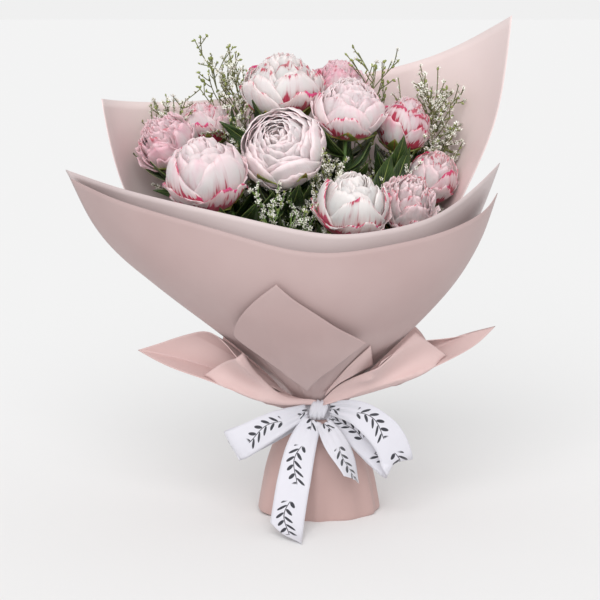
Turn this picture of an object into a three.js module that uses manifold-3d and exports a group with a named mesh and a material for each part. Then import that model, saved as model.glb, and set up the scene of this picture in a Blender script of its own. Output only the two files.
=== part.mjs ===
// A hand-tied bunch of twelve peonies with filler sprays and leaves, wrapped in florist's paper and
// tied with a satin ribbon. It stands on the cut ends of its stems, inside the flared paper sleeve.
// Millimetres, +Z up, the front towards -Y. The origin is the centre of the sleeve's flat foot.
import * as THREE from "three";
import { mergeVertices } from "three/addons/utils/BufferGeometryUtils.js";
import Module from "manifold-3d";

const wasm = await Module();
wasm.setup();

// ---- Driving dimensions ------------------------------------------------------------------------
const TIE_HEIGHT = 121; // the middle of the ribbon band above the foot
const BAND_HEIGHT = 20; // the ribbon is crushed to this height where it goes round
const RIBBON_WIDTH = 36;
const RIBBON_THICKNESS = 0.8;
const PAPER_THICKNESS = 0.8;
const LAYER_GAP = 0.6; // between one layer and the next at the tie
const STEM_RADIUS = 2.4; // a peony stem
const SPRAY_RADIUS = 0.9; // the main stem of a filler spray
const TWIG_RADIUS = 0.6;
const LEAF_THICKNESS = 0.7;
const BINDING_THICKNESS = 1.4; // the twine under the paper
const BINDING_HEIGHT = 12;
const STEM_GAP = 0.5; // the least space between two stems at the tie
const FOOT_GAP = 1.5; // the cut ends stop this far above the sleeve's folded bottom
const CUT_SPREAD = 1.75; // how much wider the bundle is at its cut ends than at the tie
const SPIRAL = THREE.MathUtils.degToRad(55); // the twist of the stems from tie to cut ends
const DOME_HEIGHT = 312; // above the tie: where the stems reach their full spread
const TUCK = 18; // how far the sheets reach below the middle of the band
const LOOSE = 0.4; // the gap left where one piece meets another
const THROAT = TIE_HEIGHT + BAND_HEIGHT / 2 + 1; // the sheets flare from here
const NECK = TIE_HEIGHT - TUCK - 2; // the stems twist apart below here

// ---- Blooms: middle (x, y, and z above the tie), radius, and how tall against wide ---------------
const BLOOMS = {
  far_left: { at: [-167, 15, 289], radius: 31, tall: 0.95 },
  back_left: { at: [-128, 66, 303], radius: 28, tall: 0.95 },
  front_left: { at: [-119, -67, 263], radius: 40, tall: 1.0 },
  top: { at: [-41, 40, 349], radius: 42, tall: 0.86 },
  centre: { at: [-40, -37, 288], radius: 43, tall: 0.9 },
  back: { at: [22, 88, 350], radius: 29, tall: 0.9 },
  centre_right: { at: [31, 0, 327], radius: 37, tall: 0.9 },
  right_back: { at: [93, 36, 307], radius: 28, tall: 1.1 },
  front: { at: [33, -84, 233], radius: 36, tall: 0.95 },
  front_right: { at: [93, -52, 230], radius: 28, tall: 1.15 },
  right: { at: [124, 12, 252], radius: 26, tall: 1.15 },
  rear: { at: [-62, 94, 300], radius: 27, tall: 0.95 },
};

// Filler sprays: the tip (x, y, z above the tie), and the height above the tie where twigs begin.
const SPRAYS = {
  left_tall: { tip: [-122, 98, 376], from: 284, twigs: 5, reach: 30 },
  left_mid: { tip: [-92, 72, 352], from: 266, twigs: 4, reach: 30 },
  far_left: { tip: [-176, 66, 318], from: 236, twigs: 4, reach: 30 },
  front_left: { tip: [-66, -104, 232], from: 168, twigs: 4, reach: 26 },
  front_middle: { tip: [-14, -103, 216], from: 160, twigs: 4, reach: 24 },
  middle: { tip: [12, -50, 264], from: 206, twigs: 3, reach: 14 },
  right_tall: { tip: [66, 84, 366], from: 282, twigs: 4, reach: 40 },
  right_mid: { tip: [134, 62, 328], from: 236, twigs: 5, reach: 40 },
  right_low: { tip: [150, 52, 286], from: 214, twigs: 4, reach: 14 },
};

// Leaves: foot and tip (z above the tie), the widest width, and how far the blade arches.
const LEAVES = {
  under_top: { foot: [-52, 14, 268], tip: [-108, 6, 312], width: 18, arch: 6 },
  left_upright: { foot: [-90, 40, 262], tip: [-96, 44, 326], width: 11, arch: 4 },
  far_left: { foot: [-122, -14, 226], tip: [-178, -22, 240], width: 14, arch: 5 },
  front_pair_left: { foot: [-68, -76, 170], tip: [-62, -112, 224], width: 10, arch: 4 },
  front_pair_right: { foot: [-40, -74, 168], tip: [-40, -112, 222], width: 10, arch: 4 },
  front_low: { foot: [8, -62, 150], tip: [7, -120, 204], width: 13, arch: 5 },
  middle: { foot: [14, -22, 214], tip: [44, -42, 268], width: 20, arch: 6 },
  right_broad: { foot: [62, -30, 216], tip: [78, -30, 280], width: 26, arch: 6 },
  right_slim: { foot: [80, -6, 232], tip: [100, -4, 286], width: 18, arch: 5 },
  rear: { foot: [-16, 66, 246], tip: [-18, 122, 292], width: 26, arch: 8 },
};

// ---- The stem bundle ------------------------------------------------------------------------------
const GOLDEN_ANGLE = Math.PI * (3 - Math.sqrt(5));
const flat = ([x, y]) => new THREE.Vector2(x, y);
const above = ([x, y, z]) => new THREE.Vector3(x, y, TIE_HEIGHT + z);

// The least share of the heads' spread at which the stems still clear each other at the tie.
function tieShare() {
  const heads = [
    ...Object.values(BLOOMS).map((b) => [flat(b.at), STEM_RADIUS]),
    ...Object.values(SPRAYS).map((s) => [flat(s.tip), SPRAY_RADIUS]),
  ];
  let share = 0;
  heads.forEach(([a, ra], i) =>
    heads.slice(i + 1).forEach(([b, rb]) => {
      share = Math.max(share, (ra + rb + STEM_GAP) / a.distanceTo(b));
    }),
  );
  return share;
}
const TIE_SHARE = tieShare();
const BUNDLE_RADIUS =
  Math.max(
    ...Object.values(BLOOMS).map((b) => flat(b.at).length() * TIE_SHARE + STEM_RADIUS),
    ...Object.values(SPRAYS).map((s) => flat(s.tip).length() * TIE_SHARE + SPRAY_RADIUS),
  ) + LOOSE;

// Where the stem of the head over (x, y) is at height z: every level is the same layout, turned and
// scaled, so no two stems can meet.
function stemPoint(x, y, z) {
  const head = new THREE.Vector2(x, y);
  const down = Math.max(0, (NECK - z) / NECK);
  head.rotateAround(new THREE.Vector2(), SPIRAL * down);
  const up = THREE.MathUtils.clamp((z - THROAT) / (TIE_HEIGHT + DOME_HEIGHT - THROAT), 0, 1);
  const spread = TIE_SHARE + (1 - TIE_SHARE) * up * (1.2 - 0.2 * up);
  head.multiplyScalar(spread + TIE_SHARE * (CUT_SPREAD - 1) * down);
  return new THREE.Vector3(head.x, head.y, z);
}

// The run of one stem, from its cut end just inside the sleeve up to height top.
function stemPath(x, y, top, steps) {
  const foot = PAPER_THICKNESS + FOOT_GAP;
  const levels = [foot, NECK * 0.4, NECK * 0.75, NECK, THROAT];
  for (let i = 1; i <= steps; i++) levels.push(THREE.MathUtils.lerp(THROAT, top, i / steps));
  return levels.map((z) => stemPoint(x, y, z));
}

// ---- Shells and tubes -----------------------------------------------------------------------------
function meshOf(name, geometry, material) {
  const mesh = new THREE.Mesh(geometry, material);
  mesh.name = name;
  return mesh;
}

function indexed(points, faces) {
  const geometry = new THREE.BufferGeometry().setFromPoints(points);
  geometry.setIndex(faces.flat());
  geometry.computeVertexNormals();
  return geometry;
}

// A closed sheet of even thickness about a grid of points, rows of equal length.
function sheetSolid(grid, thickness) {
  const rows = grid.length - 1;
  const cols = grid[0].length - 1;
  const at = (r, c) => grid[Math.min(rows, Math.max(0, r))][Math.min(cols, Math.max(0, c))];
  const points = [];
  for (const side of [1, -1])
    for (let r = 0; r <= rows; r++)
      for (let c = 0; c <= cols; c++) {
        const along = at(r + 1, c).clone().sub(at(r - 1, c));
        const across = at(r, c + 1).clone().sub(at(r, c - 1));
        const normal = across.cross(along).normalize();
        points.push(at(r, c).clone().addScaledVector(normal, (side * thickness) / 2));
      }
  const top = (r, c) => r * (cols + 1) + c;
  const under = (r, c) => top(r, c) + (rows + 1) * (cols + 1);
  const faces = [];
  const quad = (a, b, c, d) => faces.push([a, b, c], [a, c, d]);
  for (let r = 0; r < rows; r++)
    for (let c = 0; c < cols; c++) {
      quad(top(r, c), top(r, c + 1), top(r + 1, c + 1), top(r + 1, c));
      quad(under(r, c), under(r + 1, c), under(r + 1, c + 1), under(r, c + 1));
    }
  for (let c = 0; c < cols; c++) {
    quad(under(0, c), under(0, c + 1), top(0, c + 1), top(0, c));
    quad(top(rows, c), top(rows, c + 1), under(rows, c + 1), under(rows, c));
  }
  for (let r = 0; r < rows; r++) {
    quad(top(r, 0), top(r + 1, 0), under(r + 1, 0), under(r, 0));
    quad(under(r, cols), under(r + 1, cols), top(r + 1, cols), top(r, cols));
  }
  return indexed(points, faces);
}

// Straight runs between the points of a stem, with the steps of its extrusion on the points.
class Route extends THREE.Curve {
  constructor(points) {
    super();
    this.points = points;
  }
  getPoint(t, target = new THREE.Vector3()) {
    const along = t * (this.points.length - 1);
    const i = Math.min(this.points.length - 2, Math.floor(along));
    return target.lerpVectors(this.points[i], this.points[i + 1], along - i);
  }
  getUtoTmapping(u) {
    return u;
  }
}

function rod(points, radius, sides) {
  const corner = (_, k) => {
    const a = (2 * Math.PI * k) / sides;
    return new THREE.Vector2(radius * Math.cos(a), radius * Math.sin(a));
  };
  return new THREE.ExtrudeGeometry(new THREE.Shape(Array.from({ length: sides }, corner)), {
    steps: points.length - 1,
    extrudePath: new Route(points),
  });
}

// A closed skin over rings of points of equal count, capped at both ends.
function rounds(rings) {
  const sides = rings[0].length;
  const last = (rings.length - 1) * sides;
  const faces = [];
  for (let i = 0; i + 1 < rings.length; i++)
    for (let k = 0; k < sides; k++) {
      const [a, b] = [i * sides + k, i * sides + ((k + 1) % sides)];
      faces.push([a, b, b + sides], [a, b + sides, a + sides]);
    }
  for (let k = 1; k + 1 < sides; k++)
    faces.push([0, k + 1, k], [last, last + k, last + k + 1]);
  return indexed(rings.flat(), faces);
}

function solidOf(geometry) {
  const bare = geometry.clone();
  bare.deleteAttribute("normal");
  bare.deleteAttribute("uv");
  const merged = mergeVertices(bare, 1e-4);
  return new wasm.Manifold(
    new wasm.Mesh({
      numProp: 3,
      vertProperties: merged.attributes.position.array,
      triVerts: new Uint32Array(merged.index.array),
    }),
  );
}

function geometryOf(solid) {
  const { vertProperties, triVerts } = solid.getMesh();
  const geometry = new THREE.BufferGeometry();
  geometry.setAttribute("position", new THREE.BufferAttribute(vertProperties, 3));
  geometry.setIndex(new THREE.BufferAttribute(triVerts, 1));
  geometry.computeVertexNormals();
  return geometry;
}

// ---- Peonies --------------------------------------------------------------------------------------
const petal = new THREE.MeshStandardMaterial({ color: 0xf0dcdc, roughness: 0.6 });
const stemGreen = new THREE.MeshStandardMaterial({ color: 0x5c7a3c, roughness: 0.6 });
const leafGreen = new THREE.MeshStandardMaterial({ color: 0x40502c, roughness: 0.5 });
const twigGreen = new THREE.MeshStandardMaterial({ color: 0x7a8a58, roughness: 0.7 });
const BLOOM_SIDES = 15;
const BLOOM_RINGS = 8;
const GUARD_PETALS = 5;
const RECEPTACLE = 1.02; // the stem meets the bloom this share of its height below the middle

// The foot of the bloom, on its stem, and the direction that the bloom faces.
function setting(bloom) {
  const middle = above(bloom.at);
  const z = middle.z - bloom.radius * bloom.tall * RECEPTACLE;
  const foot = stemPoint(bloom.at[0], bloom.at[1], z);
  return { middle, foot, facing: middle.clone().sub(foot).normalize() };
}

// A cupped globe with the lobes of its guard petals, facing along +Z about its middle.
function bloomGeometry(radius, tall) {
  const rings = [];
  for (let i = 0; i <= BLOOM_RINGS; i++) {
    const polar = Math.PI * (1 - (i + 0.35) / (BLOOM_RINGS + 0.7));
    const girth = Math.sin(polar) * (1 + 0.06 * Math.cos(polar));
    const ring = [];
    for (let k = 0; k < BLOOM_SIDES; k++) {
      const a = (2 * Math.PI * k) / BLOOM_SIDES;
      const lobe = 1 - 0.05 * (1 - Math.cos(GUARD_PETALS * a)) * Math.sin(polar);
      ring.push(
        new THREE.Vector3(
          radius * girth * lobe * Math.cos(a),
          radius * girth * lobe * Math.sin(a),
          radius * tall * Math.cos(polar),
        ),
      );
    }
    rings.push(ring);
  }
  return rounds(rings);
}

function peony(name, bloom) {
  const { middle, foot, facing } = setting(bloom);
  const head = meshOf(`bloom_${name}`, bloomGeometry(bloom.radius, bloom.tall), petal);
  head.position.copy(middle);
  head.quaternion.setFromUnitVectors(new THREE.Vector3(0, 0, 1), facing);

  const path = stemPath(bloom.at[0], bloom.at[1], foot.z - 2 * LOOSE, 4);
  return [head, meshOf(`stem_${name}`, rod(path, STEM_RADIUS, 6), stemGreen)];
}

// ---- Filler sprays --------------------------------------------------------------------------------
function spray(name, { tip, from, twigs, reach }) {
  const path = stemPath(tip[0], tip[1], above(tip).z, 4);
  let whole = solidOf(rod(path, SPRAY_RADIUS, 5));
  for (let k = 0; k < twigs; k++) {
    const z = TIE_HEIGHT + THREE.MathUtils.lerp(from, tip[2] - reach * 0.3, k / twigs);
    const i = path.findIndex((p) => p.z > z);
    const start = path[i - 1].clone().lerp(path[i], (z - path[i - 1].z) / (path[i].z - path[i - 1].z));
    const a = GOLDEN_ANGLE * k;
    const out = new THREE.Vector3(Math.cos(a) * 0.6, Math.sin(a) * 0.6, 0.8);
    const length = reach * (1 - (0.35 * k) / twigs);
    const end = start.clone().addScaledVector(out, length);
    whole = whole.add(solidOf(rod([start, end], TWIG_RADIUS, 4)));
  }
  return meshOf(`spray_${name}`, geometryOf(whole), twigGreen);
}

// ---- Leaves ---------------------------------------------------------------------------------------
function leaf(name, { foot, tip, width, arch }) {
  const [from, to] = [above(foot), above(tip)];
  const along = to.clone().sub(from);
  const across = along.clone().cross(new THREE.Vector3(0, 1, 0.2)).normalize();
  const lift = across.clone().cross(along).normalize();
  const steps = 6;
  const grid = Array.from({ length: steps + 1 }, (_, i) => {
    const t = i / steps;
    const half = (width / 2) * Math.max(0.08, Math.sin(Math.PI * t ** 0.8));
    const spine = from
      .clone()
      .addScaledVector(along, t)
      .addScaledVector(lift, arch * Math.sin(Math.PI * t));
    return [-1, 0, 1].map((s) =>
      spine.clone().addScaledVector(across, s * half).addScaledVector(lift, Math.abs(s) * half * 0.2),
    );
  });
  return meshOf(`leaf_${name}`, sheetSolid(grid, LEAF_THICKNESS), leafGreen);
}

// ---- Paper ----------------------------------------------------------------------------------------
const paper = new THREE.MeshStandardMaterial({ color: 0xcbaead, roughness: 0.7 });
const innerPaper = new THREE.MeshStandardMaterial({ color: 0xc8b6b4, roughness: 0.7 });
const LAYER = PAPER_THICKNESS + LAYER_GAP;
const layerRadius = (n) => BUNDLE_RADIUS + BINDING_THICKNESS + LAYER_GAP + LAYER * (n + 0.5);

// A curve through points given above the tie; several runs meet at the sheet's sharp corners.
function edgePoints(runs, cols) {
  const points = [];
  runs.forEach((run, i) => {
    const curve = new THREE.CatmullRomCurve3(run.map(above), false, "centripetal");
    const share = curve.getSpacedPoints(cols[i]);
    points.push(...(i ? share.slice(1) : share));
  });
  return points;
}

// A sheet gathered round the tie: from its tucked lower edge, up through the throat, and out along
// a curve to its free edge. rise is how it leaves the throat and hang how it comes up to the edge,
// each [outwards, upwards] at the sides and at the middle.
function gathered({ runs, cols, layer, arc, rise, hang, rows, lower = TIE_HEIGHT - TUCK }) {
  const edge = edgePoints(runs, cols);
  const radius = layerRadius(layer);
  const columns = edge.map((end, c) => {
    const u = c / (edge.length - 1);
    const a = THREE.MathUtils.degToRad(THREE.MathUtils.lerp(arc[0], arc[1], u));
    const out = new THREE.Vector3(Math.cos(a), Math.sin(a), 0);
    const side = Math.abs(2 * u - 1) ** 1.5;
    const blend = (pair, i) => THREE.MathUtils.lerp(pair.middle[i], pair.side[i], side);
    const handle = (from, pair, way) => {
      const point = from.clone().addScaledVector(way, blend(pair, 0));
      return point.setZ(from.z + blend(pair, 1));
    };
    const low = out.clone().multiplyScalar(radius).setZ(lower);
    const throat = low.clone().setZ(THROAT);
    const away = end.clone().setZ(0).normalize();
    const flare = new THREE.CubicBezierCurve3(
      throat,
      handle(throat, rise, out.clone().lerp(away, 0.6)),
      handle(end, hang, away),
      end,
    );
    return [low, ...Array.from({ length: rows + 1 }, (_, r) => flare.getPoint((r / rows) ** 1.15))];
  });
  return columns[0].map((_, r) => columns.map((column) => column[r]));
}

const BACK_SHEET = {
  runs: [
    [
      [-230, -30, 339],
      [-226, 30, 334],
      [-189, 85, 328],
      [-113, 125, 329],
      [3, 142, 348],
      [95, 125, 367],
      [149, 95, 386],
      [188, 40, 412],
      [204, -20, 426],
    ],
  ],
  cols: [12],
  rows: 6,
  layer: 0,
  arc: [202, -22],
  rise: { side: [52, 96], middle: [57, 92] },
  hang: { side: [14, -150], middle: [8, -140] },
};
const FRONT_INNER = {
  runs: [
    [
      [-270, -35, 264],
      [-199, -106, 250],
      [-150, -128, 241],
      [-88, -142, 229],
      [-36, -148, 217],
      [20, -148, 208],
      [75, -142, 216],
      [122, -124, 225],
      [155, -92, 245],
      [193, -32, 271],
    ],
  ],
  cols: [12],
  rows: 6,
  layer: 1,
  arc: [155, 385],
  rise: { side: [70, 101], middle: [48, 56] },
  hang: { side: [-20, -110], middle: [2, -86] },
};
const FRONT_OUTER = {
  runs: [
    [
      [-264, -46, 256],
      [-205, -116, 240],
      [-142, -140, 225],
      [-79, -154, 209],
      [-36, -160, 196],
      [8, -161, 191],
      [47, -158, 197],
      [96, -148, 204],
      [133, -132, 213],
      [168, -98, 222],
      [190, -44, 240],
    ],
  ],
  cols: [12],
  rows: 6,
  layer: 2,
  arc: [158, 382],
  rise: { side: [73, 98], middle: [52, 50] },
  hang: { side: [-16, -106], middle: [4, -84] },
};
const LEFT_WING = {
  runs: [
    [
      [-84, -84, 66],
      [-104, -58, 84],
      [-122, -36, 90],
      [-156, -20, 78],
      [-198, -12, 63],
    ],
    [
      [-198, -12, 63],
      [-160, -44, 50],
      [-128, -56, 43],
      [-98, -60, 31],
      [-64, -56, 17],
      [-40, -46, 11.5],
    ],
  ],
  cols: [7, 6],
  rows: 6,
  layer: 3,
  arc: [222, 262],
  rise: { side: [20, 12], middle: [42, 14] },
  hang: { side: [-16, -24], middle: [-40, 0] },
};
const RIGHT_WING = {
  runs: [
    [
      [26, -48, 17],
      [54, -56, 32],
      [109, -56, 46],
      [137, -44, 57],
      [170, -30, 70],
      [194, -12, 90],
    ],
    [
      [194, -12, 90],
      [160, -16, 80],
      [124, -32, 78],
      [98, -56, 80],
      [66, -88, 66],
    ],
  ],
  cols: [6, 7],
  rows: 6,
  layer: 3,
  arc: [278, 318],
  rise: { side: [20, 12], middle: [42, 14] },
  hang: { side: [-16, -24], middle: [-40, 0] },
};
const BACK_COLLAR = {
  runs: [
    [
      [62, 8, 20],
      [100, 6, 22],
      [128, 20, 46],
      [104, 62, 84],
      [60, 96, 66],
      [0, 112, 44],
      [-50, 100, 74],
      [-100, 64, 78],
      [-112, 28, 46],
      [-78, 8, 20],
    ],
  ],
  cols: [16],
  rows: 4,
  layer: 3,
  arc: [12, 164],
  rise: { side: [20, 10], middle: [30, 24] },
  hang: { side: [-10, -6], middle: [-10, -20] },
};

const gatheredSheet = (name, spec, material) =>
  meshOf(name, sheetSolid(gathered(spec), PAPER_THICKNESS), material);

// The collar's front corner, folded up over the outer sheet. It follows that sheet a little way off.
const FLAP_STEPS = 7;
function frontFlap() {
  const host = gathered(FRONT_OUTER);
  const rows = host.length - 1;
  const cols = host[0].length - 1;
  const onHost = (u, t) => {
    const [c, r] = [u * cols, t * rows];
    const [c0, r0] = [Math.min(cols - 1, Math.floor(c)), Math.min(rows - 1, Math.floor(r))];
    const pick = (i, j) => host[r0 + i][c0 + j];
    const low = pick(0, 0).clone().lerp(pick(0, 1), c - c0);
    const high = pick(1, 0).clone().lerp(pick(1, 1), c - c0);
    return low.lerp(high, r - r0);
  };
  const corner = { foot: [0.46, 0.31], left: [0.3, 0.59], tip: [0.47, 0.88], right: [0.66, 0.63] };
  const grid = [];
  for (let i = 0; i <= FLAP_STEPS; i++) {
    const row = [];
    for (let j = 0; j <= FLAP_STEPS; j++) {
      const [p, q] = [i / FLAP_STEPS, j / FLAP_STEPS];
      const mix = (k) =>
        (1 - p) * (1 - q) * corner.foot[k] +
        p * (1 - q) * corner.left[k] +
        p * q * corner.tip[k] +
        (1 - p) * q * corner.right[k];
      const point = onHost(mix(0), mix(1));
      const off = 4 + 9 * (1 - p * q) ** 2;
      row.push(point.add(new THREE.Vector3(0, -off, -0.35 * off)));
    }
    grid.push(row);
  }
  return meshOf("paper_front_flap", sheetSolid(grid, PAPER_THICKNESS), paper);
}

// The flared sleeve round the cut stems, folded flat under them: half widths and heights of rings.
const SLEEVE = { width: 69, depth: 50, corner: 3, pleats: 8, sides: 24 };
function sleeve() {
  const neck = layerRadius(3);
  const top = TIE_HEIGHT - LOOSE;
  const ring = (half, z, shrink) => {
    const wide = THREE.MathUtils.lerp(neck, SLEEVE.width, half) - shrink;
    const deep = THREE.MathUtils.lerp(neck, SLEEVE.depth, half) - shrink;
    return Array.from({ length: SLEEVE.sides }, (_, k) => {
      const a = (2 * Math.PI * k) / SLEEVE.sides;
      const pleat = 1 + 0.035 * half * (1 - half) * 4 * Math.cos(SLEEVE.pleats * a);
      return new THREE.Vector3(wide * pleat * Math.cos(a), deep * pleat * Math.sin(a), z);
    });
  };
  const neckline = TIE_HEIGHT - BAND_HEIGHT / 2 - 1;
  const profile = [
    [0.96, 0],
    [1, SLEEVE.corner],
    [0.9, 0.18 * neckline],
    [0.74, 0.45 * neckline],
    [0.48, 0.7 * neckline],
    [0.14, 0.9 * neckline],
    [0, neckline],
    [0, top],
  ];
  const half = PAPER_THICKNESS / 2;
  const outside = profile.map(([share, z]) => ring(share, z, -half));
  const lift = (z) => (z < PAPER_THICKNESS ? PAPER_THICKNESS : z + (z > SLEEVE.corner ? 0 : 1));
  const inside = profile.map(([share, z]) => ring(share, lift(z), half));
  return meshOf("paper_sleeve", rounds([...outside, ...inside.reverse()]), paper);
}

// ---- The binding and the ribbon -------------------------------------------------------------------
const twine = new THREE.MeshStandardMaterial({ color: 0xb89b6c, roughness: 0.9 });
const satin = new THREE.MeshStandardMaterial({ color: 0xf2f1f6, roughness: 0.35 });

function collarRing(name, inner, outer, height, material) {
  const half = height / 2;
  const profile = [
    [inner, -half],
    [outer, -half],
    [outer, half],
    [inner, half],
    [inner, -half],
  ].map(([x, y]) => new THREE.Vector2(x, y));
  const geometry = new THREE.LatheGeometry(profile, 32);
  const mesh = meshOf(name, geometry, material);
  mesh.rotation.x = Math.PI / 2;
  mesh.position.z = TIE_HEIGHT;
  return mesh;
}

const BAND_INNER = layerRadius(3) + PAPER_THICKNESS / 2 + LAYER_GAP;
const BAND_OUTER = BAND_INNER + RIBBON_THICKNESS;

// A flat strip along a curve. Each point gives the middle (z above the tie, y from the band's
// front), the direction across the ribbon, and the width there against the full width.
function strip(name, points, steps, endCut = 0) {
  const front = -BAND_OUTER;
  const line = new THREE.CatmullRomCurve3(
    points.map(({ at: [x, y, z] }) => new THREE.Vector3(x, front + y, TIE_HEIGHT + z)),
    false,
    "centripetal",
  );
  const grid = Array.from({ length: steps + 1 }, (_, i) => {
    const t = (i / steps) * (points.length - 1);
    const k = Math.min(points.length - 2, Math.floor(t));
    const [a, b] = [points[k], points[k + 1]];
    const across = new THREE.Vector3(...a.across)
      .lerp(new THREE.Vector3(...b.across), t - k)
      .normalize();
    const half = (RIBBON_WIDTH / 2) * THREE.MathUtils.lerp(a.width, b.width, t - k);
    const middle = line.getPoint(i / steps);
    const along = line.getTangent(i / steps);
    return [-1, 0, 1].map((s) => {
      const slant = i === steps ? s * endCut : 0;
      return middle.clone().addScaledVector(across, s * half).addScaledVector(along, slant);
    });
  });
  return meshOf(name, sheetSolid(grid, RIBBON_THICKNESS), satin);
}

const KNOT = { width: 22, depth: 11, height: 26 };
function knot() {
  const geometry = new THREE.SphereGeometry(0.5, 12, 8);
  geometry.scale(KNOT.width, KNOT.height, KNOT.depth);
  const mesh = meshOf("ribbon_knot", geometry, satin);
  mesh.rotation.x = Math.PI / 2;
  mesh.position.set(0, -BAND_OUTER - LOOSE - KNOT.depth / 2, TIE_HEIGHT + 3);
  return mesh;
}

function ribbon() {
  const floor = 1 - TIE_HEIGHT;
  return [
    collarRing("ribbon_band", BAND_INNER, BAND_OUTER, BAND_HEIGHT, satin),
    knot(),
    strip(
      "ribbon_loop_left",
      [
        { at: [-12.5, -9, 3], across: [0.2, 0, -1], width: 0.4 },
        { at: [-46, -22, -9], across: [0.4, 0, -0.9], width: 0.8 },
        { at: [-84, -26, -29], across: [0.5, 0, -0.86], width: 1 },
        { at: [-94, -20, -34], across: [0.5, 0, -0.86], width: 1 },
        { at: [-84, -13, -31], across: [0.5, 0, -0.86], width: 1 },
        { at: [-50, -8, -18], across: [0.4, 0, -0.9], width: 0.8 },
        { at: [-13, -4.5, -4], across: [0.2, 0, -1], width: 0.4 },
      ],
      16,
    ),
    strip(
      "ribbon_loop_right",
      [
        { at: [12.5, -9, 6], across: [0.1, 0, -1], width: 0.4 },
        { at: [44, -20, 2], across: [-0.2, 0, -1], width: 0.8 },
        { at: [72, -25, -20], across: [-0.75, 0, -0.65], width: 1 },
        { at: [84, -24, -46], across: [-0.85, 0, -0.5], width: 1 },
        { at: [80, -16, -54], across: [-0.85, 0, -0.5], width: 1 },
        { at: [54, -9, -34], across: [-0.75, 0, -0.65], width: 0.9 },
        { at: [13, -4.5, -3], across: [-0.2, 0, -1], width: 0.4 },
      ],
      18,
    ),
    strip(
      "ribbon_tail_left",
      [
        { at: [-6, -13, -12], across: [1, 0, 0.1], width: 0.5 },
        { at: [-19, -23, -36], across: [1, 0, 0.08], width: 0.9 },
        { at: [-27, -38, -70], across: [1, 0, 0.05], width: 1 },
        { at: [-32, -56, floor + 24], across: [1, 0, 0.02], width: 1 },
        { at: [-35, -76, floor + 6], across: [1, 0, 0], width: 1 },
        { at: [-36, -96, floor + 2], across: [1, 0, 0], width: 1 },
      ],
      14,
      6,
    ),
    strip(
      "ribbon_tail_right",
      [
        { at: [6, -14, -10], across: [1, 0.3, 0.2], width: 0.5 },
        { at: [18, -22, -28], across: [0.8, 0.6, 0.3], width: 0.8 },
        { at: [31, -30, -50], across: [0.5, 0.85, 0.2], width: 0.9 },
        { at: [40, -36, -74], across: [0.3, 0.95, 0], width: 0.8 },
      ],
      10,
      8,
    ),
  ];
}

// ---- The whole bunch ------------------------------------------------------------------------------
const bouquet = new THREE.Group();
for (const [name, bloom] of Object.entries(BLOOMS)) bouquet.add(...peony(name, bloom));
for (const [name, spec] of Object.entries(SPRAYS)) bouquet.add(spray(name, spec));
for (const [name, spec] of Object.entries(LEAVES)) bouquet.add(leaf(name, spec));
bouquet.add(
  collarRing(
    "stem_binding",
    BUNDLE_RADIUS,
    BUNDLE_RADIUS + BINDING_THICKNESS,
    BINDING_HEIGHT,
    twine,
  ),
  gatheredSheet("paper_back_sheet", BACK_SHEET, paper),
  gatheredSheet("paper_front_inner", FRONT_INNER, innerPaper),
  gatheredSheet("paper_front_outer", FRONT_OUTER, paper),
  gatheredSheet("paper_wing_left", { ...LEFT_WING, lower: TIE_HEIGHT + LOOSE }, paper),
  gatheredSheet("paper_wing_right", { ...RIGHT_WING, lower: TIE_HEIGHT + LOOSE }, paper),
  gatheredSheet("paper_back_collar", { ...BACK_COLLAR, lower: TIE_HEIGHT + LOOSE }, paper),
  frontFlap(),
  sleeve(),
  ...ribbon(),
);

export default bouquet;
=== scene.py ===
"""The looks of a hand-tied, paper-wrapped bunch of peonies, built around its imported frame.

Everything is in metres in the frame's own axes: +Z up, the front towards -Y, the origin on the
ground under the bunch. Each sub-assembly is a class that reads its place from the frame's nodes.
"""

import logging
import math
from dataclasses import dataclass, field
from enum import Enum
from typing import Sequence

import bmesh
import bpy
import numpy as np
from mathutils import Matrix, Vector, noise
from mathutils.bvhtree import BVHTree


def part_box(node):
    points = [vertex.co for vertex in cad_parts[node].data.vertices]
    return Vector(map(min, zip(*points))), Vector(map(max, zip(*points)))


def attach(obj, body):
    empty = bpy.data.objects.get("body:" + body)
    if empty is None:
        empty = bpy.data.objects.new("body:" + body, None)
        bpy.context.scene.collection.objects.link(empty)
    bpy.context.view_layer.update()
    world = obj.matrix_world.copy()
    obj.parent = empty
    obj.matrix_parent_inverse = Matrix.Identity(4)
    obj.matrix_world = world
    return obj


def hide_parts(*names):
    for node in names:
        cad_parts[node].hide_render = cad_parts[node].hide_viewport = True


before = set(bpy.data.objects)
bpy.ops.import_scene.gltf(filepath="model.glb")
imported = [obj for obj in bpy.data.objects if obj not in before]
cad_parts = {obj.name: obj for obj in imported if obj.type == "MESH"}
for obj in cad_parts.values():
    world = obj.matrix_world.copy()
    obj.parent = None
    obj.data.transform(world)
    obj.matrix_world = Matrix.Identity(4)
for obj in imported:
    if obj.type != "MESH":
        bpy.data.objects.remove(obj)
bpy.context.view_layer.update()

BODY = "root"
BINDING = "stem_binding"
MM = 0.001
GOLDEN_ANGLE = math.pi * (3 - math.sqrt(5))

# Points nearer than a seam are one, and facets that turn and skew less than this become one face.
SOLID_SEAM = 1e-5
GRID_SEAM = 1e-6
FACET_TURN = 1.0
FACET_SKEW = 1.2

log = logging.getLogger("peonies")


# ---- Small helpers -------------------------------------------------------------------------------


def linear(code: str) -> tuple[float, float, float, float]:
    """Turns a web colour into scene-linear light.

    Args:
        code: Six hexadecimal digits, red first.

    Returns:
        Red, green, blue and an alpha of one.
    """
    channels = [int(code[i : i + 2], 16) / 255 for i in (0, 2, 4)]
    lit = [c / 12.92 if c <= 0.04045 else ((c + 0.055) / 1.055) ** 2.4 for c in channels]
    return (*lit, 1.0)


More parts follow.
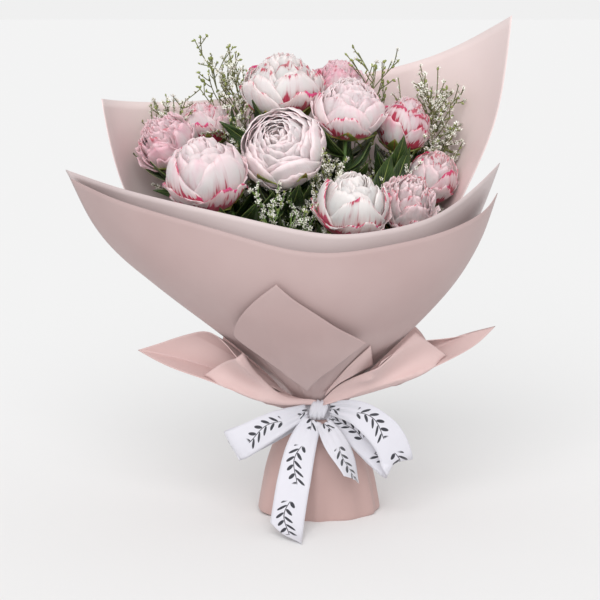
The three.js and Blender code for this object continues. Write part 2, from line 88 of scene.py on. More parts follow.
def catmull(points: np.ndarray, count: int) -> np.ndarray:
    """Runs a smooth curve through some points.

    Args:
        points: Rows of X, Y and Z, in order.
        count: How many points to return, evenly over the rows' numbers.

    Returns:
        The curve's points.
    """
    ends = np.vstack([2 * points[0] - points[1], points, 2 * points[-1] - points[-2]])
    where = np.linspace(0, len(points) - 1, count)
    first = np.minimum(where.astype(int), len(points) - 2)
    t = (where - first)[:, None]
    a, b, c, d = (ends[first + k] for k in range(4))
    bend = (2 * a - 5 * b + 4 * c - d) * t**2
    twist = (3 * b - a - 3 * c + d) * t**3
    return 0.5 * (2 * b + (c - a) * t + bend + twist)


def mix(a: float, b: float, share: float) -> float:
    """Returns the value that lies a share of the way from a to b."""
    return a + (b - a) * share


def unit(vector: np.ndarray) -> np.ndarray:
    """Returns the vector, or each vector of an array, at length one."""
    return vector / np.maximum(np.linalg.norm(vector, axis=-1, keepdims=True), 1e-12)


def smoothstep(low: float, high: float, values: np.ndarray) -> np.ndarray:
    """Returns 0 on low's side, 1 on high's side, and a smooth change between them."""
    share = np.clip((values - low) / (high - low), 0, 1)
    return share * share * (3 - 2 * share)


def node_points(node: str) -> np.ndarray:
    """Returns the corners of one of the frame's nodes, each once, as rows of X, Y and Z."""
    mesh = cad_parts[node].data
    points = np.empty(len(mesh.vertices) * 3, np.float32)
    mesh.vertices.foreach_get("co", points)
    return np.unique(points.reshape(-1, 3).astype(float).round(6), axis=0)


def nodes_named(prefix: str) -> list[str]:
    """Returns the frame's nodes whose names start with the prefix, sorted, without the binding."""
    return sorted(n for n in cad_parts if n.startswith(prefix) and n != BINDING)


def link_new(name: str, data: bpy.types.ID) -> bpy.types.Object:
    """Makes an object of some data, links it to the scene and returns it."""
    piece = bpy.data.objects.new(name, data)
    bpy.context.scene.collection.objects.link(piece)
    return piece


def around_axis(points: np.ndarray) -> tuple[np.ndarray, np.ndarray]:
    """Returns each point's angle about the bunch's axis, and its level direction away from it."""
    around = np.arctan2(points[:, 1], points[:, 0])
    return around, np.stack([np.cos(around), np.sin(around), 0 * around], axis=1)


def tie_height() -> float:
    """Returns the height of the ribbon's turn round the neck, at its middle."""
    low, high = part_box("ribbon_band")
    return (low[2] + high[2]) / 2


def turn_to(direction: np.ndarray, spin: float = 0.0) -> np.ndarray:
    """Returns the rotation that takes +Z to the direction, after a spin about +Z.

    Args:
        direction: Where +Z ends up.
        spin: Radians about +Z, made first.

    Returns:
        A 3 by 3 matrix.
    """
    aim = Vector((0, 0, 1)).rotation_difference(Vector(direction)).to_matrix()
    return np.array(aim @ Matrix.Rotation(spin, 3, "Z"))


def settle(piece: bpy.types.Object, slot: str, replaces: Sequence[str] = ()) -> None:
    """Fixes a finished piece to the frame.

    Args:
        piece: The object, with its place in its mesh.
        slot: The record's material slot that it belongs to.
        replaces: The frame's nodes that it stands for.
    """
    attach(piece, BODY)
    if replaces:
        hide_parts(*replaces)
    log.info("%s: %d faces, slot %s", piece.name, len(piece.data.polygons), slot)


@dataclass
class Patchwork:
    """Gathers patches of points into one mesh with a UV map and a tint.

    The UV map is named "Weave" and the tint is a colour attribute named "tint".
    """

    points: list = field(default_factory=list)
    faces: list = field(default_factory=list)
    places: list = field(default_factory=list)
    tints: list = field(default_factory=list)
    slots: list = field(default_factory=list)
    count: int = 0

    def add(
        self,
        grid: np.ndarray,
        place: np.ndarray,
        tint: Sequence[float] = (0, 0, 0, 0),
        slot: int = 0,
        ring: bool = False,
    ) -> None:
        """Adds one patch.

        Args:
            grid: Points in rows and columns, shape (rows, columns, 3).
            place: The UV place of each point, shape (rows, columns, 2).
            tint: Four values that the patch carries to its material.
            slot: The index of the patch's material.
            ring: Whether the last column joins the first.
        """
        rows, cols = grid.shape[:2]
        index = self.count + np.arange(rows * cols).reshape(rows, cols)
        right = np.roll(index, -1, axis=1) if ring else index[:, 1:]
        left = index if ring else index[:, :-1]
        quads = np.stack([left[:-1], right[:-1], right[1:], left[1:]], axis=-1).reshape(-1, 4)
        self.points.append(grid.reshape(-1, 3))
        self.places.append(place.reshape(-1, 2))
        self.tints.append(np.tile(np.array(tint, float), (rows * cols, 1)))
        self.faces.append(quads)
        self.slots.append(np.full(len(quads), slot, np.int32))
        self.count += rows * cols

    def build(self, name: str, materials: Sequence[bpy.types.Material]) -> bpy.types.Object:
        """Makes the mesh object.

        Args:
            name: The piece's name.
            materials: Its materials, in the order of the patches' slot numbers.

        Returns:
            The new object, linked to the scene.
        """
        mesh = bpy.data.meshes.new(name)
        faces = np.concatenate(self.faces)
        mesh.from_pydata(np.concatenate(self.points).tolist(), [], faces.tolist())
        places = np.concatenate(self.places)[faces.ravel()]
        mesh.uv_layers.new(name="Weave").data.foreach_set("uv", places.astype(np.float32).ravel())
        tint = mesh.color_attributes.new("tint", "FLOAT_COLOR", "POINT")
        tint.data.foreach_set("color", np.concatenate(self.tints).astype(np.float32).ravel())
        mesh.polygons.foreach_set("use_smooth", np.ones(len(faces), bool))
        for material in materials:
            mesh.materials.append(material)
        mesh.polygons.foreach_set("material_index", np.concatenate(self.slots))
        mesh.update()
        return link_new(name, mesh)


def thicken(piece: bpy.types.Object, thickness: float) -> bpy.types.Object:
    """Gives a single skin an even thickness about its middle, and returns it."""
    wall = piece.modifiers.new("thickness", "SOLIDIFY")
    wall.thickness = thickness
    wall.offset = 0
    return piece


def plain_mesh(piece: bpy.types.Object) -> bpy.types.Object:
    """Bakes a piece's modifiers into its own mesh, and returns it."""
    graph = bpy.context.evaluated_depsgraph_get()
    baked = bpy.data.meshes.new_from_object(piece.evaluated_get(graph))
    piece.modifiers.clear()
    piece.data = baked
    return piece


def smooth_copy(node: str, levels: int, name: str, rim: float = math.radians(70)) -> bpy.types.Object:
    """Copies a frame node's solid and rounds it between its sharp rims.

    Args:
        node: The frame's node.
        levels: How many times its faces are split.
        name: The piece's name.
        rim: Edges that turn by more than this stay sharp.

    Returns:
        The finer copy, as a plain mesh.
    """
    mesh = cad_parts[node].data.copy()
    mesh.materials.clear()
    shape = bmesh.new()
    shape.from_mesh(mesh)
    bmesh.ops.remove_doubles(shape, verts=shape.verts, dist=SOLID_SEAM)
    bmesh.ops.join_triangles(
        shape,
        faces=shape.faces,
        angle_face_threshold=FACET_TURN,
        angle_shape_threshold=FACET_SKEW,
    )
    crease = shape.edges.layers.float.new("crease_edge")
    for edge in shape.edges:
        edge[crease] = 1.0 if edge.calc_face_angle(0.0) > rim else 0.0
    for face in shape.faces:
        face.smooth = True
    shape.to_mesh(mesh)
    shape.free()
    piece = link_new(name, mesh)
    finer = piece.modifiers.new("finer", "SUBSURF")
    finer.levels = finer.render_levels = levels
    return plain_mesh(piece)


def weld(piece: bpy.types.Object) -> bpy.types.Object:
    """Closes a grid's seams and poles, turns its faces outwards, and returns it."""
    shape = bmesh.new()
    shape.from_mesh(piece.data)
    bmesh.ops.remove_doubles(shape, verts=shape.verts, dist=GRID_SEAM)
    bmesh.ops.recalc_face_normals(shape, faces=shape.faces)
    shape.to_mesh(piece.data)
    shape.free()
    return piece


def join(piece: bpy.types.Object, other: bpy.types.Object) -> None:
    """Moves another piece's faces into the piece's mesh and removes the other."""
    shape = bmesh.new()
    shape.from_mesh(piece.data)
    shape.from_mesh(other.data)
    shape.to_mesh(piece.data)
    shape.free()
    bpy.data.objects.remove(other)


# ---- Node trees ----------------------------------------------------------------------------------


@dataclass
class Tree:
    """Short calls for building a node tree."""

    tree: bpy.types.NodeTree

    def add(self, kind: str, settings: dict | None = None, **sockets: object) -> bpy.types.Node:
        """Adds a node.

        Args:
            kind: The node's type.
            settings: Properties of the node itself.
            **sockets: Input values or the sockets to link, by name with _ for a space, or by
                number with _ before it.

        Returns:
            The node.
        """
        node = self.tree.nodes.new(kind)
        for key, value in (settings or {}).items():
            setattr(node, key, value)
        for key, value in sockets.items():
            self.feed(node, int(key[1:]) if key[1:].isdigit() else key.replace("_", " "), value)
        return node

    def feed(self, node: bpy.types.Node, key: int | str, value: object) -> None:
        """Sets or links one input of a node.

        Args:
            node: The node.
            key: The input's name or number.
            value: A number, a tuple, or the output socket to link.
        """
        if isinstance(value, bpy.types.NodeSocket):
            self.tree.links.new(value, node.inputs[key])
        else:
            node.inputs[key].default_value = value


@dataclass
class Growth(Tree):
    """A Geometry Nodes tree that grows one piece from points that carry attributes."""

    inputs: dict[str, bpy.types.NodeTreeInterfaceSocket] = field(default_factory=dict)

    def field_of(self, name: str, kind: str = "FLOAT_VECTOR") -> bpy.types.NodeSocket:
        """Reads a point's attribute by name and returns it."""
        node = self.add("GeometryNodeInputNamedAttribute", {"data_type": kind}, Name=name)
        return node.outputs["Attribute"]

    @classmethod
    def start(cls, name: str, sizes: dict[str, tuple[str, object]]) -> tuple["Growth", dict]:
        """Starts a tree with a Geometry input and output.

        Args:
            name: The tree's name.
            sizes: Each further input's name, with its socket type and default or None.

        Returns:
            The tree, and its input sockets by name.
        """
        tree = bpy.data.node_groups.new(name, "GeometryNodeTree")
        growth = cls(tree)
        face = tree.interface
        face.new_socket("Geometry", in_out="INPUT", socket_type="NodeSocketGeometry")
        face.new_socket("Geometry", in_out="OUTPUT", socket_type="NodeSocketGeometry")
        for key, (kind, value) in sizes.items():
            socket = face.new_socket(key, in_out="INPUT", socket_type="NodeSocket" + kind)
            growth.inputs[key] = socket
            if value is not None:
                socket.default_value = value
        return growth, {s.name: s for s in tree.nodes.new("NodeGroupInput").outputs}

    def end(self, geometry: bpy.types.NodeSocket, finish: bpy.types.NodeSocket) -> None:
        """Realizes the copies, gives them their material and closes the tree.

        Args:
            geometry: What the tree has made.
            finish: Its material.
        """
        solid = self.add("GeometryNodeRealizeInstances", None, Geometry=geometry).outputs[0]
        smooth = self.add("GeometryNodeSetShadeSmooth", None, Geometry=solid).outputs[0]
        dressed = self.add("GeometryNodeSetMaterial", None, Geometry=smooth, Material=finish)
        end = self.tree.nodes.new("NodeGroupOutput")
        self.feed(end, 0, dressed.outputs[0])

    def grow(
        self,
        name: str,
        points: np.ndarray,
        edges: Sequence[tuple[int, int]],
        carried: dict[str, np.ndarray],
        **given: object,
    ) -> bpy.types.Object:
        """Runs the tree and bakes its result to a plain mesh.

        Args:
            name: The piece's name.
            points: Rows of X, Y and Z.
            edges: Pairs of point numbers.
            carried: Each attribute's name and its values, one for each point.
            **given: The tree's inputs, by name with _ for a space.

        Returns:
            The piece.
        """
        mesh = bpy.data.meshes.new(name)
        mesh.from_pydata(points.tolist(), list(edges), [])
        for key, values in carried.items():
            kind, entry = ("FLOAT", "value") if values.ndim == 1 else ("FLOAT_VECTOR", "vector")
            layer = mesh.attributes.new(key, kind, "POINT")
            layer.data.foreach_set(entry, values.astype(np.float32).ravel())
        piece = link_new(name, mesh)
        growing = piece.modifiers.new("growth", "NODES")
        growing.node_group = self.tree
        for key, value in given.items():
            growing[self.inputs[key.replace("_", " ")].identifier] = value
        return plain_mesh(piece)


def scatter_tree() -> Growth:
    """Makes the tree that sets a copy of a template on each point.

    A point carries where the copy's own +Z goes ("aim"), where its +X goes ("side"), and its
    size along each of its own axes ("grow").

    Returns:
        The tree.
    """
    sizes = {
        "Template": ("Object", None),
        "Finish": ("Material", None),
        "Size Spread": ("Float", 0.15),
        "Seed": ("Int", 1),
    }
    growth, given = Growth.start("scatter", sizes)
    axes = {"primary_axis": "Z", "secondary_axis": "X"}
    turn = growth.add("FunctionNodeAxesToRotation", axes)
    growth.feed(turn, 0, growth.field_of("aim"))
    growth.feed(turn, 1, growth.field_of("side"))
    template = growth.add("GeometryNodeObjectInfo", None, Object=given["Template"], As_Instance=True)
    low = growth.add("ShaderNodeMath", {"operation": "SUBTRACT"}, _0=1.0, _1=given["Size Spread"])
    high = growth.add("ShaderNodeMath", {"operation": "ADD"}, _0=1.0, _1=given["Size Spread"])
    luck = growth.add("FunctionNodeRandomValue", {"data_type": "FLOAT"}, Seed=given["Seed"])
    growth.feed(luck, 2, low.outputs[0])
    growth.feed(luck, 3, high.outputs[0])
    size = growth.add("ShaderNodeVectorMath", {"operation": "SCALE"}, _0=growth.field_of("grow"))
    growth.feed(size, "Scale", luck.outputs[1])
    copies = growth.add(
        "GeometryNodeInstanceOnPoints",
        None,
        Points=given["Geometry"],
        Instance=template.outputs["Geometry"],
        Rotation=turn.outputs[0],
        Scale=size.outputs[0],
    )
    growth.end(copies.outputs[0], given["Finish"])
    return growth


def tube_tree() -> Growth:
    """Makes the tree that draws a tube along every line; "girth" is a point's share of Radius.

    Returns:
        The tree.
    """
    sizes = {"Radius": ("Float", 1 * MM), "Sides": ("Int", 6), "Finish": ("Material", None)}
    growth, given = Growth.start("tubes", sizes)
    lines = growth.add("GeometryNodeMeshToCurve", None, Mesh=given["Geometry"])
    thick = growth.add(
        "GeometryNodeSetCurveRadius",
        None,
        Curve=lines.outputs[0],
        Radius=growth.field_of("girth", "FLOAT"),
    )
    ring = growth.add(
        "GeometryNodeCurvePrimitiveCircle", None, Resolution=given["Sides"], Radius=given["Radius"]
    )
    tube = growth.add(
        "GeometryNodeCurveToMesh",
        None,
        Curve=thick.outputs[0],
        Profile_Curve=ring.outputs[0],
        Fill_Caps=True,
    )
    growth.end(tube.outputs[0], given["Finish"])
    return growth


# ---- Materials -----------------------------------------------------------------------------------


@dataclass
class Shader(Tree):
    """Short calls for building a material's nodes, whose types are given without "ShaderNode"."""

    def add(self, kind: str, settings: dict | None = None, **sockets: object) -> bpy.types.Node:
        """Adds a shader node, as Tree.add does."""
        return super().add("ShaderNode" + kind, settings, **sockets)

    def maths(self, operation: str, *values: object, clamp: bool = False) -> bpy.types.NodeSocket:
        """Adds a Math node and returns its output."""
        sockets = {f"_{i}": value for i, value in enumerate(values)}
        settings = {"operation": operation, "use_clamp": clamp}
        return self.add("Math", settings, **sockets).outputs[0]

    def blend(self, share: object, a: object, b: object) -> bpy.types.NodeSocket:
        """Adds a colour Mix node and returns its result.

        Args:
            share: How much of b there is.
            a: The first colour.
            b: The second colour.

        Returns:
            The mixed colour's socket.
        """
        node = self.add("Mix", {"data_type": "RGBA"}, _0=share, _6=a, _7=b)
        return node.outputs[2]

    def rise(self, value: object, low: float, high: float) -> bpy.types.NodeSocket:
        """Adds a smooth step from low to high and returns it; low may be the larger."""
        settings = {"interpolation_type": "SMOOTHSTEP"}
        return self.add("MapRange", settings, _0=value, _1=low, _2=high).outputs[0]

    def noise(self, vector: object, scale: object, detail: float = 2.0) -> bpy.types.NodeSocket:
        """Adds a noise texture and returns its value."""
        node = self.add("TexNoise", None, Vector=vector, Scale=scale, Detail=detail)
        return node.outputs["Fac"]

    def stretch(self, vector: object, scale: Sequence[float]) -> bpy.types.NodeSocket:
        """Adds a Mapping node that scales the vector along each axis, and returns it."""
        return self.add("Mapping", None, Vector=vector, Scale=tuple(scale)).outputs[0]


def group(name: str, inputs: dict[str, object], outputs: Sequence[str]) -> tuple[Shader, dict, dict]:
    """Starts a shader node group.

    Args:
        name: The group's name.
        inputs: Each input's name and default: a number, or a tuple for a colour or vector.
        outputs: The outputs' names; one that ends in "Color" is a colour.

    Returns:
        The tree's builder, the input sockets by name, and the group's output node's inputs.
    """
    tree = bpy.data.node_groups.new(name, "ShaderNodeTree")
    for key, value in inputs.items():
        kind = "Float"
        if isinstance(value, tuple):
            kind = "Color" if len(value) == 4 else "Vector"
        socket = tree.interface.new_socket(key, in_out="INPUT", socket_type="NodeSocket" + kind)
        socket.default_value = value
    for key in outputs:
        kind = "Color" if key.endswith("Color") else "Float"
        tree.interface.new_socket(key, in_out="OUTPUT", socket_type="NodeSocket" + kind)
    shader = Shader(tree)
    start = tree.nodes.new("NodeGroupInput")
    end = tree.nodes.new("NodeGroupOutput")
    return shader, {s.name: s for s in start.outputs}, {s.name: s for s in end.inputs}


def grain_group() -> bpy.types.NodeTree:
    """The fine grain that paper, leaves and stems share: a soft cloud and a fine tooth.

    Returns:
        The group, made on the first call. Its Color is the Tone mottled towards the Shade.
    """
    if "grain" in bpy.data.node_groups:
        return bpy.data.node_groups["grain"]
    inputs = {
        "Vector": (0.0, 0.0, 0.0),
        "Tone": linear("FFFFFF"),
        "Shade": linear("808080"),
        "Cloud": 12.0,
        "Tooth": 900.0,
    }
    shader, given, out = group("grain", inputs, ("Color", "Height"))
    cloud = shader.noise(given["Vector"], given["Cloud"], 3)
    tooth = shader.noise(given["Vector"], given["Tooth"], 2)
    share = shader.rise(cloud, 0.3, 0.75)
    shader.tree.links.new(shader.blend(share, given["Tone"], given["Shade"]), out["Color"])
    shader.tree.links.new(tooth, out["Height"])
    return shader.tree


def petal_group() -> bpy.types.NodeTree:
    """The markings of a peony petal: creamy foot, blush, pink rim, crimson flames and fine veins.

    The Weave map runs across the petal in its first value and from foot to tip in its second.
    The tint holds the petal's tone, the strength of its flames, how deep it lies, and a seed; depth
    pales the petal as painted light that lifts the shade in the bloom's core.

    Returns:
        The group, made on the first call.
    """
    if "petal_marks" in bpy.data.node_groups:
        return bpy.data.node_groups["petal_marks"]
    inputs = {
        "Pale": linear("FFFFFF"),
        "Blush": linear("F0C8CC"),
        "Crimson": linear("C01040"),
        "Foot": linear("E8E0B0"),
        "Rim Blush": 0.5,
        "Flames Low": 0.35,
        "Flames High": 0.92,
    }
    shader, given, out = group("petal_marks", inputs, ("Color", "Height"))
    place = shader.add("UVMap", {"uv_map": "Weave"}).outputs[0]
    along = shader.add("SeparateXYZ", None, _0=place).outputs[1]
    tint = shader.add("Attribute", {"attribute_name": "tint"})
    parts = shader.add("SeparateColor", None, _0=tint.outputs["Color"]).outputs
    tone, flame, depth = parts[0], parts[1], parts[2]
    seed = shader.maths("MULTIPLY", tint.outputs["Alpha"], 61.0)
    shift = shader.add("CombineXYZ", None, _0=seed, _1=seed, _2=seed).outputs[0]

    def spread(scale: Sequence[float]) -> bpy.types.NodeSocket:
        """The petal's own place at a scale, moved by its seed so that no two petals match."""
        scaled = shader.stretch(place, scale)
        return shader.add("VectorMath", {"operation": "ADD"}, _0=scaled, _1=shift).outputs[0]

    blotch = shader.noise(spread((3.0, 2.0, 1.0)), 1.0, 2)
    share = shader.maths("MULTIPLY", shader.rise(blotch, 0.35, 0.7), tone)
    rim = shader.maths("MULTIPLY", shader.rise(along, 0.72, 1.02), given["Rim Blush"])
    share = shader.maths("ADD", share, rim, clamp=True)
    colour = shader.blend(share, given["Pale"], given["Blush"])
    colour = shader.blend(shader.rise(along, 0.5, 0.12), colour, given["Foot"])

    streak = shader.noise(spread((11.0, 1.6, 1.0)), 1.0, 2)
    patch = shader.noise(spread((2.6, 1.5, 1.0)), 1.0, 1)
    low = shader.add("MapRange", None, _0=along, _1=given["Flames High"], _2=given["Flames Low"])
    zone = shader.maths("MULTIPLY", low.outputs[0], flame)
    edge = shader.maths("MULTIPLY", shader.rise(along, 0.86, 1.0), flame)
    reach = shader.maths("MAXIMUM", zone, shader.maths("MULTIPLY", edge, 0.5))
    heat = shader.maths("MULTIPLY_ADD", reach, 0.6, shader.maths("MULTIPLY", streak, 0.7))
    heat = shader.maths("MULTIPLY_ADD", patch, 0.45, heat)
    glow = shader.maths("MULTIPLY", shader.rise(heat, 0.68, 0.95), 0.35)
    colour = shader.blend(glow, colour, given["Crimson"])
    mask = shader.rise(heat, 0.86, 0.93)
    colour = shader.blend(mask, colour, given["Crimson"])

    veins = shader.noise(spread((46.0, 2.2, 1.0)), 1.0, 2)
    warm = shader.maths("MULTIPLY", shader.rise(veins, 0.45, 0.75), 0.10)
    colour = shader.blend(warm, colour, given["Blush"])
    # Deeper petals are blended towards the pale tone: painted light that lifts the core's shade.
    inner = shader.maths("MULTIPLY", depth, 0.25)
    colour = shader.blend(inner, colour, given["Pale"])
    shader.tree.links.new(colour, out["Color"])
    shader.tree.links.new(veins, out["Height"])
    return shader.tree


def coat(node: bpy.types.Node, **values: object) -> None:
    """Sets a node's constants.

    Args:
        node: A Principled BSDF, or a group that feeds one.
        **values: Its inputs' values, by name with _ for a space.
    """
    for key, value in values.items():
        node.inputs[key.replace("_", " ")].default_value = value


@dataclass(frozen=True)
class Finish:
    """A finish: it makes one material, once."""

    name: str

    def material(self) -> bpy.types.Material:
        """Returns the finish's material, made on the first call."""
        label = "finish_" + self.name
        if label in bpy.data.materials:
            return bpy.data.materials[label]
        material = bpy.data.materials.new(label)
        material.use_nodes = True
        shader = Shader(material.node_tree)
        self.dress(shader, material.node_tree.nodes["Principled BSDF"])
        return material

    def dress(self, shader: Shader, surface: bpy.types.Node) -> None:
        """Builds the finish's nodes.

        Args:
            shader: The builder of the material's tree.
            surface: Its Principled BSDF.
        """
        raise NotImplementedError

    @staticmethod
    def bump(shader: Shader, surface: bpy.types.Node, height: object, depth: float) -> None:
        """Feeds the surface's Normal from a height.

        Args:
            shader: The builder of the material's tree.
            surface: Its Principled BSDF.
            height: The socket that gives the height.
            depth: The bump's depth in metres.
        """
        node = shader.add("Bump", None, Height=height, Strength=1.0, Distance=depth)
        shader.feed(surface, "Normal", node.outputs[0])


@dataclass(frozen=True)
class PetalFinish(Finish):
    """Satiny petals."""

    pale: str = "FBF4F1"
    blush: str = "F3CDD1"
    crimson: str = "BC0C3A"
    foot: str = "F1EBCB"
    rim_blush: float = 0.4
    flames: tuple[float, float] = (0.35, 0.92)

    def dress(self, shader: Shader, surface: bpy.types.Node) -> None:
        """Places the petal markings on a soft, slightly see-through surface."""
        marks = shader.add("Group", {"node_tree": petal_group()})
        for key in ("Pale", "Blush", "Crimson", "Foot"):
            shader.feed(marks, key, linear(getattr(self, key.lower())))
        shader.feed(marks, "Rim Blush", self.rim_blush)
        shader.feed(marks, "Flames Low", self.flames[0])
        shader.feed(marks, "Flames High", self.flames[1])
        shader.feed(surface, "Base Color", marks.outputs["Color"])
        coat(surface, Roughness=0.55, Sheen_Weight=0.15)
        coat(surface, Subsurface_Weight=0.5, Subsurface_Radius=(1.0, 0.75, 0.7), Subsurface_Scale=0.012)
        self.bump(shader, surface, marks.outputs["Height"], 0.00025)


@dataclass(frozen=True)
class LeafFinish(Finish):
    """A leathery leaf with a pale midrib, side veins and a thin light edge."""

    dark: str = "1E3019"
    light: str = "3A5526"
    rib: str = "93A35A"

    def dress(self, shader: Shader, surface: bpy.types.Node) -> None:
        """Mottles two greens and draws the veins from the leaf's own map."""
        place = shader.add("UVMap", {"uv_map": "Weave"}).outputs[0]
        parts = shader.add("SeparateXYZ", None, _0=place).outputs
        off = shader.maths("ABSOLUTE", parts[0])
        where = shader.add("TexCoord").outputs["Object"]
        grain = shader.add("Group", {"node_tree": grain_group()}, Vector=where, Cloud=60.0, Tooth=700.0)
        shader.feed(grain, "Tone", linear(self.dark))
        shader.feed(grain, "Shade", linear(self.light))
        slant = shader.maths("MULTIPLY_ADD", off, -0.35, parts[1])
        wave = shader.maths("SINE", shader.maths("MULTIPLY", slant, 62.0))
        vein = shader.rise(wave, 0.86, 1.0)
        rib = shader.rise(off, 0.07, 0.02)
        edge = shader.maths("MULTIPLY", shader.rise(off, 0.93, 1.0), 0.6)
        lines = shader.maths("MAXIMUM", rib, shader.maths("MULTIPLY", vein, 0.3))
        lines = shader.maths("MAXIMUM", lines, edge, clamp=True)
        colour = shader.blend(lines, grain.outputs["Color"], linear(self.rib))
        shader.feed(surface, "Base Color", colour)
        coat(surface, Roughness=0.38)
        coat(surface, Subsurface_Weight=0.06, Subsurface_Radius=(0.4, 1.0, 0.2), Subsurface_Scale=0.002)
        self.bump(shader, surface, shader.maths("SUBTRACT", 1.0, lines), 0.0004)


@dataclass(frozen=True)
class MottledFinish(Finish):
    """Two close tones in soft clouds, with a fine tooth that gives the bump.

    Cloud and tooth are the scales of the two, stretch scales the place along each axis first,
    and depth is the bump's depth.
    """

    tone: str
    shade: str
    roughness: float = 0.5
    cloud: float = 180.0
    tooth: float = 1500.0
    stretch: tuple[float, float, float] = (1.0, 1.0, 0.15)
    depth: float = 0.2 * MM
    sheen: float = 0.0

    def dress(self, shader: Shader, surface: bpy.types.Node) -> None:
        """Mottles the two tones by the place on the bunch."""
        where = shader.stretch(shader.add("TexCoord").outputs["Object"], self.stretch)
        grain = shader.add("Group", {"node_tree": grain_group()}, Vector=where)
        coat(grain, Cloud=self.cloud, Tooth=self.tooth)
        coat(grain, Tone=linear(self.tone), Shade=linear(self.shade))
        shader.feed(surface, "Base Color", grain.outputs["Color"])
        coat(surface, Roughness=self.roughness, Sheen_Weight=self.sheen)
        self.bump(shader, surface, grain.outputs["Height"], self.depth)


@dataclass(frozen=True)
class PaperFinish(MottledFinish):
    """Matte waterproof florist's paper."""

    roughness: float = 0.62
    cloud: float = 9.0
    tooth: float = 1400.0
    stretch: tuple[float, float, float] = (1.0, 1.0, 1.0)
    depth: float = 0.06 * MM
    sheen: float = 0.1


# ---- The camera, the floor and the light ---------------------------------------------------------


@dataclass
class Studio:
    """A pale floor without a horizon, one broad soft light and an even fill."""

    target: tuple[float, float, float] = (-0.020, 0.0, 0.238)
    distance: float = 1.9
    elevation: float = math.radians(10)
    lens: float = 103.64
    backdrop: float = 0.871
    floor_tone: float = 0.805
    fill: float = 0.76
    key: float = 1.9
    key_spread: float = math.radians(50)
    key_turn: tuple[float, float, float] = (math.radians(54), 0.0, math.radians(-6))
    floor_reach: float = 40.0

    def build(self) -> None:
        """Makes the camera, the world, the key light and the floor."""
        scene = bpy.context.scene
        scene.view_settings.view_transform = "Standard"
        data = bpy.data.cameras.new("camera")
        data.lens = self.lens
        camera = link_new("camera", data)
        back = Vector((0, -math.cos(self.elevation), math.sin(self.elevation)))
        camera.location = Vector(self.target) + back * self.distance
        camera.rotation_euler = (-back).to_track_quat("-Z", "Y").to_euler()
        scene.camera = camera
        self.light_world(scene)
        self.hang_key()
        self.lay_floor()

    def light_world(self, scene: bpy.types.Scene) -> None:
        """Makes the world an even fill that is seen as the backdrop's tone."""
        world = bpy.data.worlds.new("studio")
        world.use_nodes = True
        scene.world = world
        shader = Shader(world.node_tree)
        sky = world.node_tree.nodes["Background"]
        seen = shader.add("LightPath").outputs["Is Camera Ray"]
        tone = shader.maths("MULTIPLY_ADD", seen, self.backdrop - self.fill, self.fill)
        coat(sky, Color=(1, 1, 1, 1))
        shader.feed(sky, "Strength", tone)

    def hang_key(self) -> None:
        """Hangs the key light up to the left of the camera."""
        data = bpy.data.lights.new("key", "SUN")
        data.energy = self.key
        data.angle = self.key_spread
        link_new("key", data).rotation_euler = self.key_turn

    def lay_floor(self) -> None:
        """Lays a wide plain floor under the bunch."""
        mesh = bpy.data.meshes.new("floor")
        reach = self.floor_reach
        corners = [(-reach, -reach, 0), (reach, -reach, 0), (reach, reach, 0), (-reach, reach, 0)]
        mesh.from_pydata(corners, [], [(0, 1, 2, 3)])
        material = bpy.data.materials.new("floor")
        material.use_nodes = True
        surface = material.node_tree.nodes["Principled BSDF"]
        coat(surface, Base_Color=(*[self.floor_tone] * 3, 1), Roughness=0.9, Specular_IOR_Level=0.0)
        mesh.materials.append(material)
        floor = link_new("floor", mesh)


# ---- Peonies -------------------------------------------------------------------------------------


# A petal starts at the foot's angle, is broadest at one share of its length, and tapers from the
# next share over the span that is left.
FOOT_ANGLE = math.radians(5)
BROADEST = 0.62
TAPER_FROM = 0.68
TAPER_SPAN = 0.32
TAPER = 0.22


@dataclass(frozen=True)
class Petal:
    """One petal's outline and curl, on a globe of radius one whose foot is at -Z."""

    azimuth: float
    radius: float
    reach: float
    width: float
    corner: float
    point: float
    notch: float
    ruffle: float
    cup: float
    curl: float
    tuck: float
    lift: float
    waves: tuple[float, float, float, float]

    def skin(self, rows: int, cols: int) -> tuple[np.ndarray, np.ndarray]:
        """Works out the petal's surface.

        Args:
            rows: Points from foot to tip.
            cols: Points across.

        Returns:
            The points, shape (rows, cols, 3), and their places on the petal, (rows, cols, 2).
        """
        along, across = np.meshgrid(np.linspace(0, 1, rows), np.linspace(-1, 1, cols), indexing="ij")
        first, second, third, fourth = self.waves
        bays = 0.5 + 0.3 * np.sin(2.6 * math.pi * across + first) + 0.2 * np.sin(6.1 * across + second)
        short = self.corner * np.abs(across) ** 3.2 + self.point * np.abs(across) ** 1.2
        reach = self.reach * (1 - short - self.notch * bays * np.abs(across) ** 0.3)
        polar = FOOT_ANGLE + (np.radians(reach) - FOOT_ANGLE) * along
        broad = 0.25 + 0.75 * np.sin(0.5 * math.pi * np.minimum(1, along / BROADEST))
        broad = broad * (1 - TAPER * np.clip((along - TAPER_FROM) / TAPER_SPAN, 0, 1) ** 2)
        side = across * math.radians(self.width) * broad
        out = np.array([math.cos(self.azimuth), math.sin(self.azimuth), 0.0])
        beside = np.array([-math.sin(self.azimuth), math.cos(self.azimuth), 0.0])
        ridge = np.sin(polar)[..., None] * out + np.cos(polar)[..., None] * np.array([0, 0, -1.0])
        way = ridge * np.cos(side)[..., None] + beside * np.sin(side)[..., None]
        frill = np.sin(2.3 * math.pi * across + third) + 0.6 * np.sin(5.2 * math.pi * across + fourth)
        size = self.radius * (
            1
            + self.cup * across**2 * along
            + self.curl * along**5
            + self.tuck * across * np.sin(0.5 * math.pi * along)
            + self.ruffle * frill * along**3
        )
        points = way * size[..., None]
        points[..., 2] += self.lift * along**0.8
        place = np.stack([across * math.radians(self.width) * self.radius, along], axis=-1)
        return points, place


class Bearing(Enum):
    """How a peony holds its petals."""

    ROSETTE = "rosette"
    CUP = "cup"
    DOME = "dome"
    LOOSE = "loose"


